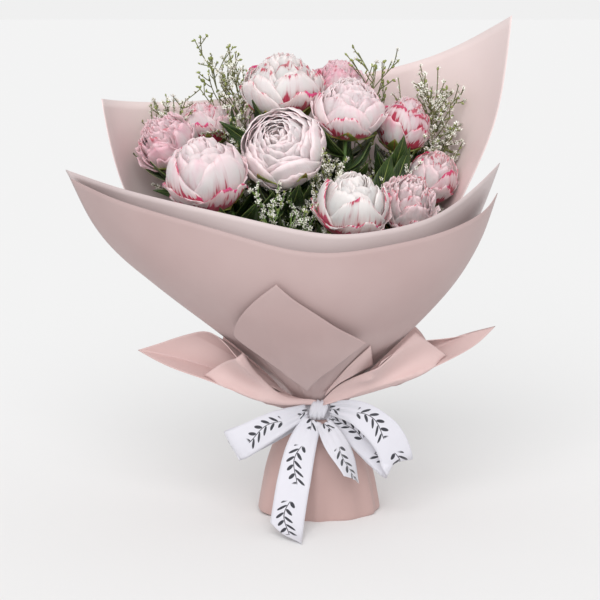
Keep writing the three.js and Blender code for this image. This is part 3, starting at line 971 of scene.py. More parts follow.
@dataclass(frozen=True)
class Habit:
    """The rule for a bloom's whorls: each pair runs from the outermost whorl to the innermost."""

    whorls: int
    count: tuple[int, int]
    radius: tuple[float, float]
    reach: tuple[float, float]
    width: tuple[float, float]
    ruffle: tuple[float, float]
    notch: tuple[float, float]
    crown: float
    curl: tuple[float, float] = (0.0, 0.0)
    point: float = 0.0
    guards: int = 5
    guard_reach: float = 92.0
    guard_curl: float = 0.12


HABITS = {
    Bearing.ROSETTE: Habit(
        whorls=14, count=(5, 3), radius=(0.99, 0.12), reach=(124, 148), width=(50, 62),
        ruffle=(0.010, 0.035), notch=(0.03, 0.06), crown=0.90, curl=(-0.04, -0.03),
        guard_reach=112, guard_curl=-0.02,
    ),
    Bearing.CUP: Habit(
        whorls=9, count=(5, 4), radius=(0.99, 0.18), reach=(124, 150), width=(46, 54),
        ruffle=(0.012, 0.08), notch=(0.04, 0.13), crown=0.98, curl=(-0.03, 0.03),
        guard_reach=100, guard_curl=0.05,
    ),
    Bearing.DOME: Habit(
        whorls=10, count=(4, 3), radius=(1.0, 0.16), reach=(130, 152), width=(54, 62),
        ruffle=(0.017, 0.03), notch=(0.055, 0.06), crown=0.97, curl=(-0.01, 0.0),
        point=0.10, guards=4, guard_reach=92, guard_curl=0.10,
    ),
    Bearing.LOOSE: Habit(
        whorls=9, count=(5, 4), radius=(0.98, 0.18), reach=(124, 148), width=(42, 48),
        ruffle=(0.04, 0.085), notch=(0.09, 0.17), crown=0.98, curl=(0.04, 0.07),
        guards=5, guard_reach=100, guard_curl=0.12,
    ),
}

WHITE = PetalFinish("petal_white", pale="FBF4F0", blush="F7DDE0", rim_blush=0.2)
SHELL = PetalFinish("petal_shell", pale="FDF2F0", blush="F9D3DB", rim_blush=0.3)
BLUSH = PetalFinish("petal_blush", pale="FCF0EE", blush="F6C6D1", rim_blush=0.4)
FLAMED = PetalFinish("petal_flamed", pale="FCEFED", blush="F4B6C4", rim_blush=0.42)
ROSE = PetalFinish("petal_rose", pale="F8E0E2", blush="EFA6B8", rim_blush=0.5)
SEPAL = LeafFinish("sepal", dark="5A6B2C", light="8A9440", rib="A8623C")
LEAF = LeafFinish("leaf")


@dataclass
class Peony:
    """One bloom with its sepals, set where the frame has its plain globe.

    Tone is how pink its petals are and flame how marked with crimson; guard_flame multiplies that
    on the outer petals. Face is where it opens, if not straight out from its stem, whose top is
    read over the neck's height. A point within the core's share of its radius is inside it.
    """

    name: str
    bearing: Bearing
    finish: PetalFinish
    seed: int
    tone: float = 0.5
    flame: float = 0.2
    wild: float = 0.05
    guard_flame: float = 1.0
    face: tuple[float, float, float] | None = None
    rows: int = 15
    cols: int = 15
    thickness: float = 0.45 * MM
    neck: float = 4 * MM
    core: float = 0.97
    sepal_count: int = 5
    sepal_rows: int = 9
    sepal_cols: int = 7
    sepal_thickness: float = 0.8 * MM

    def __post_init__(self) -> None:
        """Reads the bloom's middle, facing and size from the frame."""
        globe = node_points("bloom_" + self.name)
        stalk = node_points("stem_" + self.name)
        self.middle = (globe.min(axis=0) + globe.max(axis=0)) / 2
        top = stalk[stalk[:, 2] > stalk[:, 2].max() - self.neck].mean(axis=0)
        self.facing = unit(self.middle - top)
        away = globe - self.middle
        depth = away @ self.facing
        self.tall = float(np.abs(depth).max())
        self.radius = float(np.linalg.norm(away - depth[:, None] * self.facing, axis=1).max())
        self.random = np.random.default_rng(self.seed)

    def place(self, points: np.ndarray, facing: np.ndarray) -> np.ndarray:
        """Takes points on a globe of radius one to the bloom's place and size, opening one way."""
        sized = points * np.array([self.radius, self.radius, self.tall])
        return sized @ turn_to(facing, self.seed).T + self.middle

    def holds(self, point: np.ndarray) -> bool:
        """Says whether a point is inside the bloom."""
        return float(np.linalg.norm(point - self.middle)) < self.core * self.radius

    def petals(self) -> list[tuple[Petal, float]]:
        """Lays out the bloom's petals.

        Returns:
            Each petal, and how deep it lies: 0 outside to 1 at the core.
        """
        habit = HABITS[self.bearing]
        draw = self.random.uniform
        laid = []

        def waves() -> tuple[float, float, float, float]:
            """Four random phases for a petal's edge."""
            return tuple(draw(0, 2 * math.pi, 4))

        for k in range(habit.guards):
            azimuth = 2 * math.pi * k / habit.guards + draw(-0.25, 0.25)
            laid.append((
                Petal(
                    azimuth=azimuth, radius=1.0 + draw(0.01, 0.05), width=habit.width[0] * 0.92,
                    reach=habit.guard_reach + draw(-10, 8), corner=0.2, point=0.04,
                    notch=habit.notch[0] * 2 + 0.03, ruffle=habit.ruffle[0] + 0.018, cup=-0.03,
                    curl=habit.guard_curl + draw(-0.04, 0.05), tuck=0.03, lift=0.0, waves=waves(),
                ),
                0.0,
            ))
        for i in range(habit.whorls):
            deep = i / (habit.whorls - 1)
            count = round(mix(*habit.count, deep))
            turn = GOLDEN_ANGLE * i + draw(-0.2, 0.2)
            for k in range(count):
                radius = mix(*habit.radius, deep**0.92) + draw(-0.008, 0.008)
                reach = mix(*habit.reach, deep) + draw(-6, 5)
                out = radius * math.sin(math.radians(reach))
                up = -radius * math.cos(math.radians(reach))
                lift = habit.crown * math.sqrt(max(0.0, 1 - out * out)) - up
                laid.append((
                    Petal(
                        azimuth=turn + 2 * math.pi * (k + draw(-0.12, 0.12)) / count,
                        radius=radius,
                        reach=reach,
                        width=mix(*habit.width, deep) * draw(0.92, 1.06),
                        corner=0.16 + draw(0, 0.06),
                        point=habit.point * draw(0.3, 1.4),
                        notch=mix(*habit.notch, deep) * draw(0.6, 1.3),
                        ruffle=(mix(*habit.ruffle, deep) + self.wild * 0.2) * draw(0.7, 1.2),
                        cup=-0.02,
                        curl=mix(*habit.curl, deep) + draw(-0.02, 0.02),
                        tuck=0.035,
                        lift=max(0.0, lift * min(1.0, 1.6 * deep + 0.1)) + draw(-0.015, 0.015),
                        waves=waves(),
                    ),
                    deep,
                ))
        return laid

    def sepals(self) -> list[Petal]:
        """Returns the green sepals that hold the bloom's foot."""
        draw = self.random.uniform
        return [
            Petal(
                azimuth=2 * math.pi * k / self.sepal_count + 0.3, radius=1.05,
                reach=draw(46, 66), width=draw(13, 19), corner=0.1, point=0.35, notch=0.0,
                ruffle=0.01, cup=0.0, curl=draw(0, 0.1), tuck=0.01, lift=0.0, waves=(0, 0, 0, 0),
            )
            for k in range(self.sepal_count)
        ]

    def build(self) -> None:
        """Makes the bloom and its sepals."""
        bloom = Patchwork()
        face = self.facing if self.face is None else unit(np.array(self.face))
        for petal, deep in self.petals():
            points, place = petal.skin(self.rows, self.cols)
            tone = float(np.clip(self.tone + self.random.uniform(-0.25, 0.25), 0, 1))
            flame = self.flame * self.random.uniform(0.45, 1.25)
            flame = flame * (self.guard_flame if deep == 0 else 1.0)
            bloom.add(self.place(points, face), place, (tone, flame, deep, self.random.uniform()))
        piece = bloom.build("petals_" + self.name, [self.finish.material()])
        settle(thicken(piece, self.thickness), "petal", ["bloom_" + self.name])
        calyx = Patchwork()
        for sepal in self.sepals():
            points, place = sepal.skin(self.sepal_rows, self.sepal_cols)
            place[..., 0] = np.linspace(-1, 1, self.sepal_cols)
            calyx.add(self.place(points, self.facing), place)
        piece = calyx.build("calyx_" + self.name, [SEPAL.material()])
        settle(thicken(piece, self.sepal_thickness), "stem")


PEONIES = (
    Peony("far_left", Bearing.LOOSE, ROSE, 11, 0.3, 0.6, wild=0.1, face=(-0.5, -0.45, 0.7)),
    Peony("back_left", Bearing.LOOSE, FLAMED, 12, 0.6, 1.0, wild=0.08),
    Peony("front_left", Bearing.DOME, BLUSH, 13, 0.45, 0.36, guard_flame=2.8, face=(-0.18, -0.2, 0.95)),
    Peony("top", Bearing.CUP, WHITE, 14, 0.25, 0.95, face=(0.0, -0.12, 1.0)),
    Peony("centre", Bearing.ROSETTE, SHELL, 15, 0.35, 0.12, face=(-0.2, -0.82, 0.52)),
    Peony("back", Bearing.LOOSE, ROSE, 16, 0.8, 0.8),
    Peony("centre_right", Bearing.CUP, BLUSH, 17, 0.3, 0.4, guard_flame=2.0, face=(0.05, -0.3, 0.95)),
    Peony("right_back", Bearing.CUP, FLAMED, 18, 0.7, 1.05),
    Peony("front", Bearing.DOME, WHITE, 19, 0.15, 0.28, guard_flame=4.5, face=(0.1, -0.3, 0.95)),
    Peony("front_right", Bearing.LOOSE, FLAMED, 20, 0.25, 0.85, face=(0.2, -0.55, 0.8)),
    Peony("right", Bearing.DOME, FLAMED, 21, 0.2, 1.1, face=(0.3, -0.3, 0.9)),
    Peony("rear", Bearing.CUP, BLUSH, 22, 0.5, 0.3),
)


# ---- Leaves --------------------------------------------------------------------------------------


@dataclass(frozen=True)
class Blade:
    """A lance-shaped leaf blade."""

    width: float = 0.3
    arch: float = 0.1
    fold: float = 0.28
    wave: float = 0.012
    rows: int = 13
    cols: int = 7

    def grid(self) -> tuple[np.ndarray, np.ndarray]:
        """Works out a blade of length one, from the origin along +Z, its upper face to +X.

        Returns:
            The points, shape (rows, cols, 3), and their places on the leaf, (rows, cols, 2).
        """
        along, across = np.meshgrid(
            np.linspace(0, 1, self.rows), np.linspace(-1, 1, self.cols), indexing="ij"
        )
        shape = np.sin(math.pi * along**0.78) ** 0.9 * (1 - 0.25 * along)
        half = self.width / 2 * (shape / shape.max() + 0.03 * (1 - along))
        rise = self.arch * 4 * along * (1 - along) + self.wave * np.sin(9 * along + 2 * across)
        up = rise + self.fold * np.abs(across) * half
        points = np.stack([up, across * half, along], axis=-1)
        return points, np.stack([across, along], axis=-1)


@dataclass
class Leaves:
    """The leaves that the frame places one by one, as folded and veined blades."""

    thickness: float = 0.5 * MM
    fold: float = 0.22

    def build(self) -> None:
        """Makes every leaf from the foot, tip, width and arch of its plain solid."""
        for node in nodes_named("leaf_"):
            corners = node_points(node)
            foot = corners[np.argmin(corners[:, 2])]
            tip = corners[np.argmax(np.linalg.norm(corners - foot, axis=1))]
            foot = corners[np.argmax(np.linalg.norm(corners - tip, axis=1))]
            span = float(np.linalg.norm(tip - foot))
            axis = (tip - foot) / span
            away = corners - foot
            away = away - (away @ axis)[:, None] * axis
            side = unit(np.linalg.svd(away - away.mean(axis=0))[2][0])
            face = np.cross(side, axis)
            if face[1] > 0:
                side, face = -side, -face
            bulge = away @ face
            arch = float(bulge[np.argmax(np.abs(bulge))]) / span
            width = float(np.ptp(away @ side)) / span
            grid, place = Blade(width=width, arch=arch, fold=self.fold).grid()
            turned = grid @ np.stack([face, side, axis]) * span + foot
            leaf = Patchwork()
            leaf.add(turned, place)
            piece = leaf.build("blade_" + node.removeprefix("leaf_"), [LEAF.material()])
            settle(thicken(piece, self.thickness), "leaf", [node])


@dataclass
class Foliage:
    """The leafy growth under the blooms: leaflets in threes on every stem.

    Each leaflet of a three has a turn from the first and a share of the length. One that would be
    cut to less than the shortest share is left out.
    """

    threes: tuple[tuple[float, float], ...] = ((0.0, 1.0), (0.75, 0.8), (-0.75, 0.8))
    stalks: int = 9
    length: float = 66 * MM
    width: float = 0.36
    lowest: float = 0.25
    below_bloom: float = 0.012
    clearance: float = 4 * MM
    shortest: float = 0.4
    arch: float = 0.06
    thickness: float = 0.4 * MM
    seed: int = 5

    def build(self, peonies: Sequence[Peony], stems: dict[str, np.ndarray]) -> None:
        """Scatters the leaflets where they clear the blooms and the paper.

        Args:
            peonies: The blooms.
            stems: Each stem's middle line, by bloom name.
        """
        draw = np.random.default_rng(self.seed).uniform
        blocks = nodes_named("paper_") + nodes_named("bloom_")
        walls = [wall_of(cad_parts[node]) for node in blocks]
        spots, aims, sides, sizes = [], [], [], []
        for peony in peonies:
            line = stems[peony.name]
            top = line[-1, 2] - self.below_bloom
            for k in range(self.stalks):
                height = mix(self.lowest, top, (k + 0.7) / self.stalks)
                base = np.array([np.interp(height, line[:, 2], line[:, i]) for i in range(3)])
                azimuth = GOLDEN_ANGLE * (k + 7 * peony.seed)
                for turn, share in self.threes:
                    angle = azimuth + turn
                    lift = draw(0.5, 1.3)
                    aim = unit(np.array([math.cos(angle), math.sin(angle), lift]))
                    span = self.length * share * draw(0.8, 1.15)
                    span = min([span] + [room(wall, base, aim) - self.clearance for wall in walls])
                    if span < self.shortest * self.length:
                        continue
                    flat = np.array([-math.sin(angle), math.cos(angle), 0.0])
                    spots.append(base)
                    aims.append(aim)
                    sides.append(np.cross(flat, aim))
                    sizes.append([span] * 3)
        template = Patchwork()
        template.add(*Blade(width=self.width, arch=self.arch, rows=9, cols=5).grid())
        leaf = template.build("leaflet", [])
        carried = {"aim": np.array(aims), "side": np.array(sides), "grow": np.array(sizes)}
        piece = scatter_tree().grow(
            "foliage", np.array(spots), [], carried,
            Template=leaf, Finish=LEAF.material(), Size_Spread=0.0, Seed=self.seed,
        )
        bpy.data.objects.remove(leaf)
        settle(thicken(piece, self.thickness), "leaf")


def wall_of(piece: bpy.types.Object) -> BVHTree:
    """Returns a search tree of one object's faces."""
    mesh = piece.data
    return BVHTree.FromPolygons([v.co for v in mesh.vertices], [p.vertices for p in mesh.polygons])


def room(wall: BVHTree, start: np.ndarray, aim: np.ndarray) -> float:
    """Returns how far one can go from the start along the aim before the wall, at most a metre."""
    distance = wall.ray_cast(Vector(start), Vector(aim))[3]
    return 1.0 if distance is None else distance


# ---- Stems ---------------------------------------------------------------------------------------


@dataclass
class Stems:
    """The cut stems, from the floor through the tie to the blooms.

    Corners of a plain stem that are no further apart in height than the ring gap are one ring.
    """

    ring_gap: float = 1.2 * MM

    def lines(self) -> dict[str, np.ndarray]:
        """Finds each stem's middle line from the rings of its plain solid.

        Returns:
            Rows of X, Y and Z from the foot up, by bloom name.
        """
        found = {}
        for node in nodes_named("stem_"):
            corners = node_points(node)
            order = corners[np.argsort(corners[:, 2])]
            rings, ring = [], [order[0]]
            for corner in order[1:]:
                if corner[2] - ring[-1][2] > self.ring_gap:
                    rings.append(np.mean(ring, axis=0))
                    ring = []
                ring.append(corner)
            rings.append(np.mean(ring, axis=0))
            found[node.removeprefix("stem_")] = np.array(rings)
        return found

    def build(self) -> None:
        """Makes the stems and the twine that binds them."""
        finish = MottledFinish("stem", tone="5F7F3C", shade="3E5A28").material()
        for node in nodes_named("stem_"):
            piece = smooth_copy(node, 2, "stalk_" + node.removeprefix("stem_"))
            piece.data.materials.append(finish)
            settle(piece, "stem", [node])
        piece = smooth_copy(BINDING, 3, "twine")
        twine = MottledFinish("twine", tone="B9A070", shade="8C7448", roughness=0.8)
        piece.data.materials.append(twine.material())
        settle(piece, "twine", [BINDING])


# ---- Filler sprays -------------------------------------------------------------------------------


class Bunching(Enum):
    """How a filler spray carries its flowers."""

    AIRY = "a few long twigs with green buds"
    CLOUD = "a close cloud of small white flowers"
    GRASSY = "bright green twigs with loose white flowers"


@dataclass(frozen=True)
class Manner:
    """How many small twigs a side twig bears, how many flowers each has, and the open ones' share."""

    twigs: int
    flowers: int
    white: float


MANNERS = {
    Bunching.AIRY: Manner(3, 3, 0.3),
    Bunching.CLOUD: Manner(6, 5, 0.8),
    Bunching.GRASSY: Manner(4, 4, 0.85),
}

TWIG = MottledFinish("twig", tone="767A4C", shade="565A36", roughness=0.6)
GREEN_TWIG = MottledFinish("green_twig", tone="7C9A4A", shade="55753A", roughness=0.5)
BUD = MottledFinish("bud", tone="9AA460", shade="6F7A3E", roughness=0.5)
FLORET = MottledFinish("floret", tone="F6F5EE", shade="DDDBCB", roughness=0.6)


@dataclass
class Spray:
    """One filler spray: a main twig, side twigs, and florets and buds on their ends.

    A side twig that comes too near the paper is shrunk a few times and then left out.
    """

    name: str
    bunching: Bunching
    reach: float
    branches: int
    start: float
    seed: int
    bloom_size: float = 2.5 * MM
    clearance: float = 7 * MM
    twig_radius: float = 0.58 * MM
    tries: int = 4
    shrink: float = 0.75

    def __post_init__(self) -> None:
        """Reads the spray's tip and the tie from the frame."""
        corners = node_points("spray_" + self.name)
        self.tip = corners[np.argmax(corners[:, 2])]
        self.tie = tie_height()
        self.manner = MANNERS[self.bunching]
        self.random = np.random.default_rng(self.seed)
        self.points: list[np.ndarray] = []
        self.edges: list[tuple[int, int]] = []
        self.girths: list[float] = []
        self.ends: dict[str, list[tuple[np.ndarray, np.ndarray]]] = {"floret": [], "bud": []}

    def spine(self, up: float) -> np.ndarray:
        """Returns the main twig's point at a share of the way from the tie to the tip."""
        spread = 0.135 + 0.865 * up * (1.2 - 0.2 * up)
        return np.array([*(self.tip[:2] * spread), mix(self.tie, self.tip[2], up)])

    def line(self, points: np.ndarray, thick: float, thin: float) -> None:
        """Adds one twig through some points, from thick to thin."""
        first = len(self.points)
        self.points.extend(points)
        self.girths.extend(np.linspace(thick, thin, len(points)))
        self.edges.extend((first + k, first + k + 1) for k in range(len(points) - 1))

    def twig(self, base: np.ndarray, aim: np.ndarray, length: float, count: int) -> np.ndarray:
        """Bends a twig upwards from its base and returns its points."""
        t = np.linspace(0, 1, count)[:, None]
        sideways = self.random.normal(size=3) * 0.08 * length
        return base + aim * length * t + (np.array([0, 0, 0.22]) * length + sideways) * t**2

    def scatter_direction(self, aim: np.ndarray, amount: float) -> np.ndarray:
        """Returns a direction near the aim."""
        return unit(aim + self.random.normal(size=3) * amount)

    def inside(self, points: np.ndarray, walls: Sequence[BVHTree]) -> bool:
        """Says whether a twig keeps its clearance to the paper."""
        start, aim = points[0], points[-1] - points[0]
        span = float(np.linalg.norm(aim))
        return all(room(wall, start, aim / span) > span + self.clearance for wall in walls)

    def branch(
        self, share: float, number: int, blooms: Sequence[Peony], walls: Sequence[BVHTree]
    ) -> None:
        """Grows one side twig with its own small twigs, unless a bloom or the paper is in its way.

        Args:
            share: How far up the flowering part it starts.
            number: Which side twig it is.
            blooms: The peonies to keep clear of.
            walls: The sheets to stay inside.
        """
        draw = self.random.uniform
        base = self.spine(mix(self.start, 0.97, share))
        azimuth = GOLDEN_ANGLE * number + self.seed
        lean = math.radians(mix(64, 34, share))
        out = np.array([math.cos(azimuth), math.sin(azimuth), 0.0])
        aim = out * math.sin(lean) + np.array([0, 0, math.cos(lean)])
        length = self.reach * mix(1.0, 0.5, share) * draw(0.75, 1.1)
        points = self.twig(base, aim, length, 6)
        for _ in range(self.tries):
            if self.inside(points, walls):
                break
            points = base + (points - base) * self.shrink
        met = any(b.holds(points[k]) for b in blooms for k in (2, 3, 5))
        if met or not self.inside(points, walls):
            return
        length = float(np.linalg.norm(points[-1] - base))
        self.line(points, 0.7, 0.4)
        for k in range(self.manner.twigs):
            spot = points[min(5, 2 + k * 4 // self.manner.twigs)]
            small = self.twig(spot, self.scatter_direction(aim, 0.55), length * draw(0.22, 0.42), 4)
            if self.inside(small, walls):
                self.line(small, 0.4, 0.25)
                self.flower(small, aim)
        self.flower(points[3:], aim)

    def flower(self, points: np.ndarray, aim: np.ndarray) -> None:
        """Sets florets and buds along a small twig."""
        for k in range(self.manner.flowers):
            at = points[-1] if k == 0 else points[1 + k % (len(points) - 1)]
            way = self.scatter_direction(aim, 0.7)
            where = at + (0 if k == 0 else self.random.uniform(0.8, 2.6) * MM) * way
            kind = "floret" if self.random.uniform() < self.manner.white else "bud"
            self.ends[kind].append((where, way))
            if k:
                self.line(np.array([at, where]), 0.25, 0.2)

    def build(
        self,
        blooms: Sequence[Peony],
        walls: Sequence[BVHTree],
        tubes: Growth,
        scatter: Growth,
        forms: dict[str, bpy.types.Object],
    ) -> None:
        """Makes the spray's twigs, florets and buds.

        Args:
            blooms: The peonies to keep clear of.
            walls: The sheets to stay inside.
            tubes: The tree that draws twigs.
            scatter: The tree that sets copies.
            forms: The floret and the bud to copy, by name.
        """
        self.line(np.array([self.spine(u) for u in np.linspace(0.3, 1, 16)]), 1.0, 0.45)
        for number in range(self.branches):
            self.branch((number + 0.5) / self.branches, number, blooms, walls)
        self.flower(np.array([self.spine(u) for u in np.linspace(0.9, 1, 4)]), np.array([0, 0, 1.0]))
        twig = GREEN_TWIG if self.bunching is Bunching.GRASSY else TWIG
        piece = tubes.grow(
            "twigs_" + self.name, np.array(self.points), self.edges,
            {"girth": np.array(self.girths)},
            Radius=self.twig_radius, Sides=5, Finish=twig.material(),
        )
        settle(piece, "filler", ["spray_" + self.name])
        for kind, finish in (("floret", FLORET), ("bud", BUD)):
            spots = [(at, way) for at, way in self.ends[kind] if not any(b.holds(at) for b in blooms)]
            if not spots:
                continue
            aims = np.array([way for _, way in spots])
            carried = {
                "aim": aims,
                "side": np.cross(aims, [0.3, 0.5, 0.81]),
                "grow": np.full((len(spots), 3), self.bloom_size),
            }
            piece = scatter.grow(
                f"{kind}s_{self.name}", np.array([at for at, _ in spots]), [], carried,
                Template=forms[kind], Finish=finish.material(), Size_Spread=0.25, Seed=self.seed,
            )
            settle(piece, "filler")


def floret_form() -> bpy.types.Object:
    """Makes a tiny cupped flower of five petals, radius one, that looks along +Z."""
    lobe = ((-0.42, 0.62, 0.0), (-0.22, 1.0, 0.3), (0.22, 1.0, 0.3), (0.42, 0.62, 0.0))
    points, faces = [(0, 0, -0.35)], []
    for k in range(5):
        angle = 2 * math.pi * k / 5
        for turn, size, up in lobe:
            points.append((size * math.cos(angle + turn), size * math.sin(angle + turn), up))
        a = 1 + 4 * k
        faces += [(0, a, a + 1), (0, a + 1, a + 2), (0, a + 2, a + 3)]
    mesh = bpy.data.meshes.new("floret_form")
    mesh.from_pydata(points, [], faces)
    return link_new("floret_form", mesh)


def bud_form() -> bpy.types.Object:
    """Makes a small pointed bud, along +Z."""
    rings = [(-0.6, 0.12), (-0.2, 0.5), (0.3, 0.48), (1.0, 0.08)]
    turns = 2 * math.pi * np.arange(5) / 5
    grid = np.array([[(r * math.cos(a), r * math.sin(a), z) for a in turns] for z, r in rings])
    bud = Patchwork()
    bud.add(grid, np.zeros((4, 5, 2)), ring=True)
    return bud.build("bud_form", [])


SPRAYS = (
    Spray("left_tall", Bunching.AIRY, 72 * MM, 26, 0.5, 31),
    Spray("left_mid", Bunching.CLOUD, 66 * MM, 34, 0.5, 32),
    Spray("far_left", Bunching.CLOUD, 58 * MM, 26, 0.5, 33),
    Spray("front_left", Bunching.GRASSY, 46 * MM, 18, 0.45, 34),
    Spray("front_middle", Bunching.GRASSY, 48 * MM, 20, 0.42, 35),
    Spray("middle", Bunching.CLOUD, 46 * MM, 22, 0.5, 36),
    Spray("right_tall", Bunching.AIRY, 66 * MM, 18, 0.6, 37),
    Spray("right_mid", Bunching.CLOUD, 74 * MM, 44, 0.45, 38),
    Spray("right_low", Bunching.CLOUD, 62 * MM, 34, 0.45, 39),
)


@dataclass
class Filler:
    """All the filler sprays."""

    sprays: Sequence[Spray] = SPRAYS

    def build(self, blooms: Sequence[Peony]) -> None:
        """Makes every spray."""
        tubes, scatter = tube_tree(), scatter_tree()
        walls = [wall_of(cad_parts[n]) for n in CUTS]
        forms = {"floret": floret_form(), "bud": bud_form()}
        for spray in self.sprays:
            spray.build(blooms, walls, tubes, scatter, forms)
        for form in forms.values():
            bpy.data.objects.remove(form)


# ---- Paper ---------------------------------------------------------------------------------------


# Lit and shaded copies of one paper: the back sheet's and the wings' tones are lightened as painted
# light, and the outer front's, the flap's and the foot's are darkened as painted shade.
PAPER = PaperFinish("paper", tone="B69F9D", shade="AF9694")
LIT_BACK_PAPER = PaperFinish("back_paper", tone="E9D8D6", shade="E2CFCD")
LIT_WING_PAPER = PaperFinish("wing_paper", tone="D2B7B4", shade="CAAEAB")
SHADED_FOOT_PAPER = PaperFinish("foot_paper", tone="BC9E99", shade="B29590")
INNER_PAPER = PaperFinish("inner_paper", tone="C9BAB9", shade="C0B0AF", roughness=0.5)


@dataclass(frozen=True)
class Cut:
    """How one sheet of paper was cut and what it is like."""

    finish: PaperFinish
    flat: tuple[float, float]
    area: float
    rests_on: str
    slot: str = "paper"


CUTS = {
    "paper_back_sheet": Cut(LIT_BACK_PAPER, (0.60, 0.50), 0.166, "twine"),
    "paper_front_inner": Cut(INNER_PAPER, (0.60, 0.32), 0.105, "twine", "inner_paper"),
    "paper_front_outer": Cut(PAPER, (0.60, 0.32), 0.103, "paper_front_inner_sheet"),
    "paper_wing_left": Cut(LIT_WING_PAPER, (0.24, 0.14), 0.017, "satin_band"),
    "paper_wing_right": Cut(LIT_WING_PAPER, (0.24, 0.14), 0.017, "satin_band"),
    "paper_back_collar": Cut(LIT_WING_PAPER, (0.30, 0.12), 0.024, "satin_band"),
    "paper_front_flap": Cut(PAPER, (0.15, 0.15), 0.012, "paper_front_outer_sheet"),
    "paper_sleeve": Cut(SHADED_FOOT_PAPER, (0.42, 0.125), 0.047, "satin_band"),
}


@dataclass(frozen=True)
class Pleat:
    """A loose pleat of a wing that laps over the neck, from the tie out to its open end.

    Its lower and upper edges run through X and Z places, in millimetres from the tie's middle, and
    it stands proud by as many millimetres. Rays from the stand-off find the sheets behind it; it
    keeps the gap to them, and is never further back than the hindmost place.
    """

    node: str
    low: tuple[tuple[float, float], ...]
    high: tuple[tuple[float, float], ...]
    proud: float
    rows: int = 36
    cols: int = 19
    gap: float = 1.2 * MM
    hindmost: float = -20 * MM
    stand_off: float = 500 * MM
    thickness: float = 0.5 * MM
    passes: int = 70

    def build(self, walls: Sequence[BVHTree], tie: float) -> bpy.types.Object:
        """Lays the pleat in front of the sheets behind it, drawn taut, and swells it forwards.

        Args:
            walls: The sheets that it lies on.
            tie: The tie's height.

        Returns:
            The pleat, as a plain mesh.
        """
        low, high = (
            catmull(np.array([(x, 0, z) for x, z in edge], float) * MM, self.rows)
            for edge in (self.low, self.high)
        )
        along = np.linspace(0, 1, self.rows)[:, None]
        across = np.linspace(0, 1, self.cols)
        grid = low[:, None] * (1 - across)[:, None] + high[:, None] * across[:, None]
        grid[..., 2] += tie
        clear = np.empty(grid.shape[:2])
        back = np.array([0.0, 1.0, 0.0])
        for spot in np.ndindex(clear.shape):
            start = np.array([grid[spot][0], -self.stand_off, grid[spot][2]])
            free = min(room(wall, start, back) for wall in walls)
            clear[spot] = min(free - self.stand_off, self.hindmost) - self.gap
        depth = clear.copy()
        for _ in range(self.passes):
            edged = np.pad(depth, 1, mode="edge")
            mean = (edged[2:, 1:-1] + edged[:-2, 1:-1] + edged[1:-1, 2:] + edged[1:-1, :-2]) / 4
            depth = np.minimum(clear, mean)
        swell = np.sin(math.pi * across) ** 0.8 * np.sin(0.5 * math.pi * along)
        swell = swell + 0.35 * across**5 * along
        grid[..., 1] = depth - self.proud * MM * swell
        flap = Patchwork()
        flap.add(grid, np.zeros((*grid.shape[:2], 2)))
        return plain_mesh(thicken(flap.build("pleat", []), self.thickness))


PLEATS = (
    Pleat(
        "paper_wing_left",
        low=((-4, 9), (-40, 10), (-79, 23), (-124, 43)),
        high=((-2, 14), (-38, 21), (-64, 48), (-80, 76)),
        proud=7,
    ),
    Pleat(
        "paper_wing_right",
        low=((7, 20), (24, 38), (58, 58)),
        high=((8, 24), (29, 57), (54, 86)),
        proud=5,
    ),
    Pleat(
        "paper_wing_right",
        low=((5, 9), (59, 26), (110, 45), (139, 63)),
        high=((5, 14), (25, 36), (64, 61), (103, 93)),
        proud=8,
    ),
)


